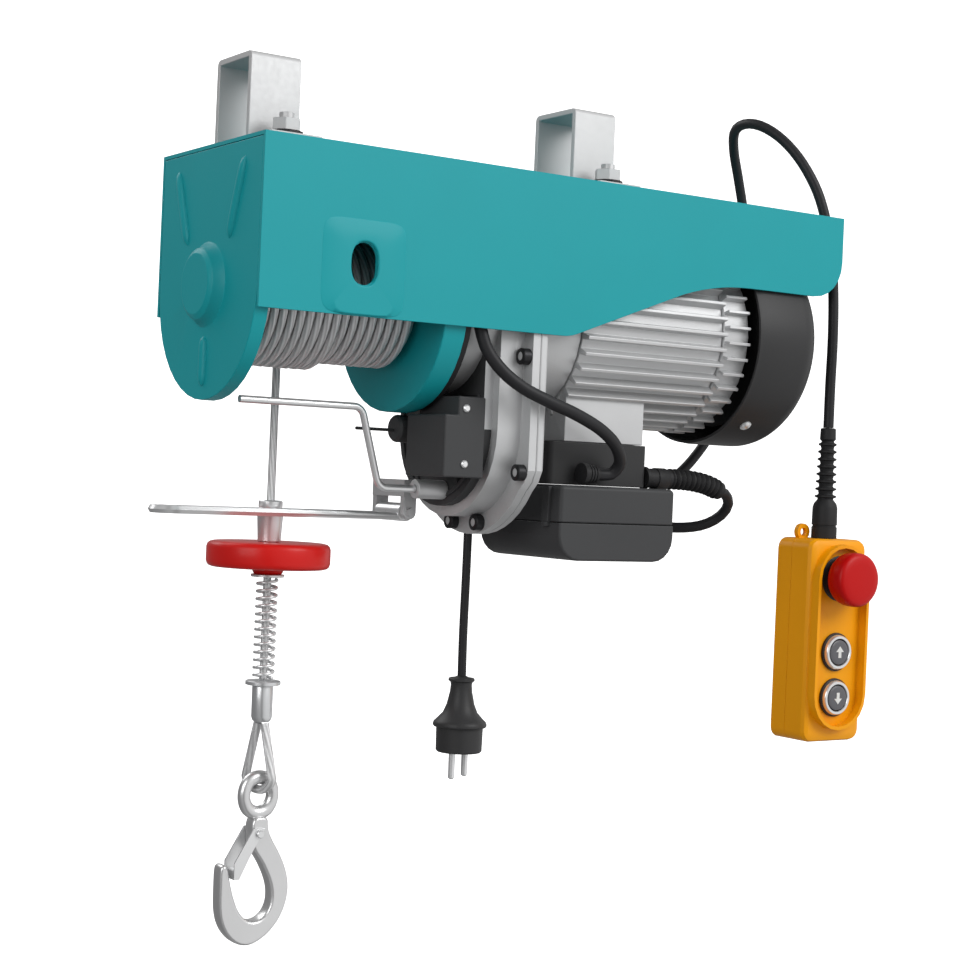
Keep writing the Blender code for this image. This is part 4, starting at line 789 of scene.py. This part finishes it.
def falling_rope():
    """The rope from the drum to the ferrule, as one fixed sweep."""
    length, steps, stretch_end = 0.2594, 60, -0.2700
    points = [(ROPE_X, ROPE_Y, DRUM_Z - length * i / steps) for i in range(steps + 1)]
    stretched_sweep("falling_rope", ROPE, points, ROPE_RADIUS, 16, "hanging_rope")


# ---------------------------------------------------------------- gearbox

def gearbox():
    def nose(centre):
        return 0.1505 < centre.x < 0.1579 and centre.z < -0.2000

    refined("gearbox_cover", 0.0016, 3, ALLOY, ((nose, DARK),))
    refined("gearbox_housing", 0.0012, 3, ALLOY)
    flange_screws()
    cover_ribs()


def flange_screws():
    """Eight screw heads on the flange of the gearbox's cover, four to a side."""
    bm = bmesh.new()
    for side in (-1, 1):
        for y, z in ((0.0645, -0.0750), (0.0645, -0.1780), (0.0640, -0.2560), (0.0160, -0.2915)):
            add_turned(bm, [
                (0.1722, 0.0), (0.1722, 0.0028), (0.1704, 0.0030), (0.1706, 0.0048), (0.1712, 0.0056),
                (0.1772, 0.0056), (0.1772, 0.0),
            ], axis_matrix("X", (0, side * y, z)), 36)
    mesh_piece("flange_screws", bm, BLACK_STEEL, "housing")


def cover_ribs():
    """A band round the cover's nose, and two upright ribs across it."""
    top, bend_z, outer, inner, proud = -0.2050, -0.2270, 0.0490, 0.0462, 0.1514
    bands = [[(-radius, top)] + arc((0.0, bend_z), radius, 180, 360, 40) + [(radius, top)]
             for radius in (outer, inner)]
    bm = bmesh.new()
    add_loop_band(bm, bands[0], bands[1], "X", 0.1492, proud)
    for y in (-0.0250, 0.0250):
        add_prism(bm, rectangle(y - 0.0018, -0.2650, y + 0.0018, top), "X", 0.1487, proud)
    soften(mesh_piece("cover_ribs", bm, DARK, "housing"), 0.0005)


def limit_devices():
    refined("limit_switch_box", 0.0012, 3, DARK)
    refined("drum_sensor", 0.0005)
    refined("rod_bearing", 0.0006, 2, ALLOY)
    refined("arm_bracket", 0.0008, 2, ALLOY)
    refined("upper_limit_arm", 0.0, 1, ZINC)
    limit_wire()
    switch_screws()


def limit_wire():
    """The lower limit rod, bent twice."""
    corners = [(-0.0080, -0.2165), (0.0830, -0.2165), (0.0985, -0.2700), (0.1500, -0.2700)]
    points = [(x, -0.008, z) for x, z in rounded_path(corners, 0.008)]
    sweep("limit_wire", ZINC, points, 0.0025, 20, "lower_rod", ("lower_limit_rod",))


def switch_screws():
    bm = bmesh.new()
    for z in (-0.2150, -0.2520):
        add_turned(bm, [
            (-0.0012, 0.0), (-0.0012, 0.0018), (-0.0004, 0.0026), (0.0010, 0.0026), (0.0010, 0.0),
        ], axis_matrix("Y", (0.1350, -0.0565, z)), 24)
    mesh_piece("switch_screws", bm, ZINC, "housing")


def rounded_path(corners, radius):
    """A flat path through the corners, each rounded by an arc of the radius."""
    points = [Vector(corners[0])]
    for before, corner, after in zip(corners, corners[1:], corners[2:]):
        before, corner, after = Vector(before), Vector(corner), Vector(after)
        back, ahead = (before - corner).normalized(), (after - corner).normalized()
        half = back.angle(ahead) / 2
        reach = radius / math.tan(half)
        centre = corner + (back + ahead).normalized() * radius / math.sin(half)
        start, end = corner + back * reach - centre, corner + ahead * reach - centre
        for i in range(9):
            points.append(centre + start.lerp(end, i / 8).normalized() * radius)
    points.append(Vector(corners[-1]))
    return points


# ---------------------------------------------------------------- motor

def motor():
    refined("motor_housing", 0.0006, 2, ALLOY)
    refined("rear_shield", 0.0012, 3, ALLOY)
    shield_fins()
    cowl_shell()
    cowl_guard()
    cowl_fixings()


def add_spoke(bm, angle, inner, outer, half_width, first, last):
    """A straight bar that stands out from the motor's axis, turned round it by the angle."""
    turn = Matrix.Translation((0, 0, MOTOR_Z)) @ Matrix.Rotation(angle, 4, "X")
    done = len(bm.verts)
    add_prism(bm, rectangle(inner, -half_width, outer, half_width), "X", first, last)
    bmesh.ops.transform(bm, matrix=turn, verts=list(bm.verts)[done:])


def shield_fins():
    bm = bmesh.new()
    for k in range(MOTOR_FINS):
        add_spoke(bm, 2 * math.pi * (k + 0.5) / MOTOR_FINS, 0.0640, 0.0705, 0.0011, 0.3500, 0.3700)
    soften(mesh_piece("shield_fins", bm, ALLOY, "housing"), 0.0004)


def cowl_shell():
    """The fan cowl's thin round shell, bent over at its end round an opening."""
    start, bend, radius, opening = 0.3733, 0.020, 0.078, 0.0500
    corner = (COWL_END - bend, radius - bend)
    outer = arc(corner, bend, 90, 0, 14)
    inner = arc(corner, bend - COWL_SHEET, 0, 90, 14)
    profile = [(start, radius - 0.0006), (start + 0.0030, radius - 0.0006), (start + 0.0060, radius)]
    profile += outer + [(COWL_END, opening), (COWL_END - COWL_SHEET, opening)] + inner
    profile.append((start, radius - COWL_SHEET))
    turned("cowl_shell", BLACK, profile, "X", (0, 0, MOTOR_Z), "housing", ("fan_cowl",), 96)


def cowl_guard():
    """The round bars and spokes over the cowl's opening."""
    inner_face = COWL_END - COWL_SHEET
    bm = bmesh.new()
    for k in range(5):
        radius = 0.0480 - k * 0.0095
        add_turned(bm, [(inner_face, radius - 0.0030), (inner_face, radius + 0.0030),
                        (COWL_END, radius + 0.0022), (COWL_END, radius - 0.0022)],
                   axis_matrix("X", (0, 0, MOTOR_Z)), 72)
    for k in range(6):
        add_spoke(bm, math.pi * k / 3 + 0.2, 0.0050, 0.0510, 0.0020, inner_face - 0.001, COWL_END - 0.0003)
    mesh_piece("cowl_guard", bm, BLACK, "housing")


def cowl_fixings():
    bm = bmesh.new()
    for angle in (-126, -54, 90):
        a = math.radians(angle)
        out = Vector((0, math.cos(a), math.sin(a)))
        add_turned(bm, [
            (0.0775, 0.0), (0.0775, 0.0044), (0.0788, 0.0044), (0.0800, 0.0030), (0.0804, 0.0012),
            (0.0799, 0.0),
        ], slanted_matrix(out, Vector((0.3900, 0, MOTOR_Z))), 32)
    mesh_piece("cowl_fixings", bm, ZINC, "housing")


def boxes():
    refined("terminal_box", 0.0012, 3, BLACK)
    refined("capacitor_housing_upper", 0.0015, 3, DARK)
    refined("capacitor_housing_lower", 0.0016, 3, DARK)
    housing_posts()


def housing_posts():
    """Two posts with round feet on the capacitor housing's left end."""
    bm = bmesh.new()
    for y in (-0.045, 0.030):
        add_prism(bm, rectangle(0.2105, -0.2890, 0.2135, -0.2640), "Y", y - 0.0040, y + 0.0040)
        add_turned(bm, [(-0.2920, 0.0), (-0.2920, 0.0030), (-0.2888, 0.0034), (-0.2888, 0.0)],
                   Matrix.Translation((0.2125, y, 0)), 24)
    soften(mesh_piece("housing_posts", bm, DARK, "housing"), 0.0006)


# ---------------------------------------------------------------- hook chain

def hook_chain():
    centre = (ROPE_X, ROPE_Y, 0)
    bore = ROPE_RADIUS + 0.0005
    turned("disc_body", RED_PAINT, [
        (-0.3323, 0.0052), (-0.3323, 0.0092), (-0.3316, 0.0100), (-0.3290, 0.0110), (-0.3282, 0.0120),
        (-0.3280, 0.0140), (-0.3280, 0.0385), (-0.3275, 0.0402), (-0.3262, 0.0416), (-0.3240, 0.0423),
        (-0.3145, 0.0423), (-0.3123, 0.0416), (-0.3110, 0.0400), (-0.3105, 0.0380), (-0.3105, 0.0052),
    ], "Z", centre, "limit_weight", ("stop_disc",), 96)
    turned("sleeve_body", ZINC, [
        (-0.3343, bore), (-0.2820, bore), (-0.2820, 0.0074), (-0.2828, 0.0082), (-0.2864, 0.0082),
        (-0.2872, 0.0078), (-0.2880, 0.0086), (-0.2890, 0.0092), (-0.2920, 0.0092), (-0.2930, 0.0088),
        (-0.3096, 0.0079), (-0.3102, 0.0074), (-0.3102, 0.0047), (-0.3325, 0.0047), (-0.3325, 0.0112),
        (-0.3328, 0.0115), (-0.3339, 0.0115), (-0.3343, 0.0112),
    ], "Z", centre, "limit_weight", ("disc_sleeve",), 48)
    coil_spring()
    turned("ferrule_body", ALLOY_BRIGHT, [
        (-0.4330, 0.0), (-0.4330, 0.0052), (-0.4318, 0.0064), (-0.4296, 0.0071), (-0.4095, 0.0072),
        (-0.4082, 0.0068), (-0.4080, 0.0110), (-0.4076, 0.0120), (-0.4054, 0.0120), (-0.4050, 0.0114),
        (-0.4050, 0.0),
    ], "Z", centre, "rope_end", ("rope_ferrule",), 48)
    thimble()
    forged_hook()
    refined("safety_latch", 0.0004, 2, ZINC)
    latch_rivet_heads()


# The hook's outline, in X from the rope and in Z. Its layers, in Y from the rope and in how far the
# outline is moved in there.
HOOK_OUTLINE = [
    (0.0062, -0.4970), (0.0064, -0.5060), (0.0100, -0.5135), (0.0158, -0.5225), (0.0208, -0.5325),
    (0.0236, -0.5425), (0.0238, -0.5515), (0.0215, -0.5612), (0.0166, -0.5705), (0.0088, -0.5786),
    (-0.0004, -0.5838), (-0.0080, -0.5850), (-0.0155, -0.5824), (-0.0222, -0.5762), (-0.0268, -0.5678),
    (-0.0288, -0.5575), (-0.0290, -0.5430), (-0.0290, -0.5320), (-0.0276, -0.5287), (-0.0246, -0.5282),
    (-0.0226, -0.5310), (-0.0207, -0.5405), (-0.0180, -0.5500), (-0.0146, -0.5587), (-0.0098, -0.5652),
    (-0.0040, -0.5684), (0.0020, -0.5680), (0.0072, -0.5644), (0.0104, -0.5584), (0.0110, -0.5510),
    (0.0094, -0.5430), (0.0050, -0.5335), (0.0004, -0.5260), (-0.0044, -0.5200), (-0.0064, -0.5120),
    (-0.0062, -0.4970),
]
HOOK_LAYERS = [
    (-0.0060, 0.0024), (-0.0060, 0.0020), (-0.0057, 0.0011), (-0.0049, 0.0004), (-0.0033, 0.0001),
    (0.0, 0.0), (0.0033, 0.0001), (0.0049, 0.0004), (0.0057, 0.0011), (0.0060, 0.0020), (0.0060, 0.0024),
]
EYE_Z, EYE_HALF_WIDTH, EYE_HALF_HEIGHT, EYE_BAR = -0.4832, 0.0108, 0.0125, 0.0044


def corners_cut(points, rounds):
    """A closed outline with its corners cut again and again, which leaves a smooth curve."""
    for _ in range(rounds):
        points = [(a[0] + (b[0] - a[0]) * t, a[1] + (b[1] - a[1]) * t)
                  for a, b in zip(points, points[1:] + points[:1]) for t in (0.25, 0.75)]
    return points


def moved_in(points, depth):
    """A clockwise outline moved inwards, square to itself."""
    moved = []
    for before, here, after in zip(points[-1:] + points[:-1], points, points[1:] + points[:1]):
        along = Vector((after[0] - before[0], after[1] - before[1])).normalized()
        moved.append((here[0] + along.y * depth, here[1] - along.x * depth))
    return moved


def forged_hook():
    """The load hook with the rounded edges of a forging, its round-bar eye, and the latch's pin."""
    outline = corners_cut(HOOK_OUTLINE, 2)
    bm = bmesh.new()
    rows = [[bm.verts.new((ROPE_X + u, ROPE_Y + y, z)) for u, z in moved_in(outline, depth)]
            for y, depth in HOOK_LAYERS]
    for row, after in zip(rows, rows[1:]):
        for i in range(len(row)):
            j = (i + 1) % len(row)
            bm.faces.new((row[i], row[j], after[j], after[i]))
    bm.faces.new(rows[0])
    bm.faces.new(rows[-1])
    done = len(bm.verts)
    turns = [2 * math.pi * i / 20 for i in range(20)]
    add_turned(bm, [(EYE_BAR * math.sin(a), EYE_HALF_WIDTH + EYE_BAR * math.cos(a)) for a in turns],
               axis_matrix("Y", (ROPE_X, ROPE_Y, EYE_Z)), 72)
    for vert in list(bm.verts)[done:]:
        share = max(-1.0, min(1.0, (vert.co.z - EYE_Z) / EYE_HALF_WIDTH))
        vert.co.z += (EYE_HALF_HEIGHT - EYE_HALF_WIDTH) * share
    add_turned(bm, [(-LATCH_PIN_HALF, 0.0), (-LATCH_PIN_HALF, 0.0016), (LATCH_PIN_HALF, 0.0016),
                    (LATCH_PIN_HALF, 0.0)], axis_matrix("Y", (LATCH_PIN_X, ROPE_Y, LATCH_PIN_Z)), 24)
    mesh_piece("forged_hook", bm, FORGED, "hook", ("load_hook",), 40)


def latch_rivet_heads():
    """The heads on the two ends of the latch's pin."""
    bm = bmesh.new()
    for side in (-1, 1):
        add_turned(bm, [
            (-0.0010, 0.0), (-0.0010, 0.0022), (-0.0005, 0.0027), (0.0005, 0.0027), (0.0010, 0.0022),
            (0.0010, 0.0),
        ], axis_matrix("Y", (LATCH_PIN_X, ROPE_Y + side * LATCH_PIN_HALF, LATCH_PIN_Z)), 24)
    mesh_piece("latch_rivet_heads", bm, ZINC, "hook")


def coil_spring():
    """The buffer spring as a fixed coil. On the hoist it is squashed when the disc slides down on it."""
    low, high, turns, steps, coil_radius = -0.4036, -0.3360, 13, 28, 0.0066
    count = turns * steps
    points = []
    for i in range(count + 1):
        a = 2 * math.pi * i / steps
        x, y = ROPE_X + coil_radius * math.cos(a), ROPE_Y + coil_radius * math.sin(a)
        points.append((x, y, low + (high - low) * (i / count)))
    stretched_sweep("coil_spring", ZINC, points, 0.0011, 10, "buffer_spring")


def thimble():
    """The rope's eye, and the two rims of the thimble that the rope lies in."""
    turn = math.radians(-67.5)
    half_width, low_z, top_z, throat, rim_offset = 0.0125, -0.4795, -0.4340, 0.0030, 0.0030
    bend = arc((0.0, low_z + half_width), half_width, 200, 340, 24)
    outline = [(-throat, top_z)] + bend + [(throat, top_z)]
    dense = []
    for (u, z), (u2, z2) in zip(outline, outline[1:]):
        steps = max(1, round(math.hypot(u2 - u, z2 - z) / 0.0016))
        for i in range(steps):
            dense.append((u + (u2 - u) * i / steps, z + (z2 - z) * i / steps))
    dense.append(outline[-1])

    def placed(u, z):
        return Vector((ROPE_X + u * math.cos(turn), ROPE_Y + u * math.sin(turn), z))

    points = [placed(u, z) for u, z in dense]
    sweep("rope_eye", ROPE, points, 0.0030, 16, "rope_end", ("thimble_loop",))
    inner = [placed(u * 0.93, z + 0.0004) for u, z in dense[4:-4]]
    side = Vector((-math.sin(turn), math.cos(turn), 0))
    bm = bmesh.new()
    for offset in (-rim_offset, rim_offset):
        add_sweep(bm, [p + side * offset for p in inner], 0.0007, 8)
    mesh_piece("thimble_rims", bm, ZINC, "rope_end")


# ---------------------------------------------------------------- pendant

def pendant():
    refined("pendant_front", 0.0010, 3, YELLOW)
    refined("pendant_back", 0.0010, 3, YELLOW)
    key("up_key_cap", "up_button", "up_key", UP_Z, 1)
    key("down_key_cap", "down_button", "down_key", DOWN_Z, -1)
    stop()


def key(name, node, body, z, up):
    """A key's cap with its arrow, and the ring and collar round it on the pendant's front."""
    turned(name, CAP_GREY, [
        (-0.0842, 0.0), (-0.0843, 0.0060), (-0.0842, 0.0082), (-0.0838, 0.0090), (-0.0828, 0.0094),
        (-0.0680, 0.0095), (-0.0680, 0.0),
    ], "Y", (PENDANT_X, 0, z), body, (node,), 64)
    bm = bmesh.new()
    arrow = [(0.0, 0.0046), (0.0038, 0.0004), (0.0014, 0.0004), (0.0014, -0.0040), (-0.0014, -0.0040),
             (-0.0014, 0.0004), (-0.0038, 0.0004)]
    add_prism(bm, [(PENDANT_X + u, z + up * v) for u, v in arrow], "Y", -0.0846, -0.0840)
    mesh_piece(name + "_arrow", bm, WHITE, body)
    turned(name + "_ring", ZINC, [
        (-0.0812, 0.0108), (-0.0834, 0.0100), (-0.0840, 0.0104), (-0.0840, 0.0120), (-0.0834, 0.0126),
        (-0.0812, 0.0130),
    ], "Y", (PENDANT_X, 0, z), "housing", (), 72)
    turned(name + "_collar", BLACK, [
        (-0.0794, 0.0108), (-0.0814, 0.0108), (-0.0814, 0.0134), (-0.0808, 0.0142), (-0.0794, 0.0144),
    ], "Y", (PENDANT_X, 0, z), "housing", (), 72)


def stop():
    """The mushroom, and the collar that stays round its stem."""
    turned("mushroom", RED, [
        (-0.0855, 0.0083), (-0.0853, 0.0150), (-0.0860, 0.0172), (-0.0885, 0.0190), (-0.0915, 0.0198),
        (-0.0945, 0.0200), (-0.0985, 0.0200), (-0.1007, 0.0196), (-0.1021, 0.0185), (-0.1029, 0.0165),
        (-0.1033, 0.0120), (-0.1034, 0.0), (-0.0897, 0.0), (-0.0897, 0.0083),
    ], "Y", (PENDANT_X, 0, STOP_Z), "stop_mushroom", ("stop_head",), 96)
    turned("stop_collar", BLACK, [
        (-0.0793, 0.0086), (-0.0793, 0.0165), (-0.0800, 0.0168), (-0.0808, 0.0150), (-0.0810, 0.0110),
        (-0.0810, 0.0086),
    ], "Y", (PENDANT_X, 0, STOP_Z), "housing")


camera()
lights()
surroundings()
stage_floor()
dress_nodes()
cords()
terminal_gland()
loom_gland()
mains_gland()
pendant_boot()
frame_pieces()
wound_rope()
falling_rope()
gearbox()
limit_devices()
motor()
boxes()
hook_chain()
pendant()
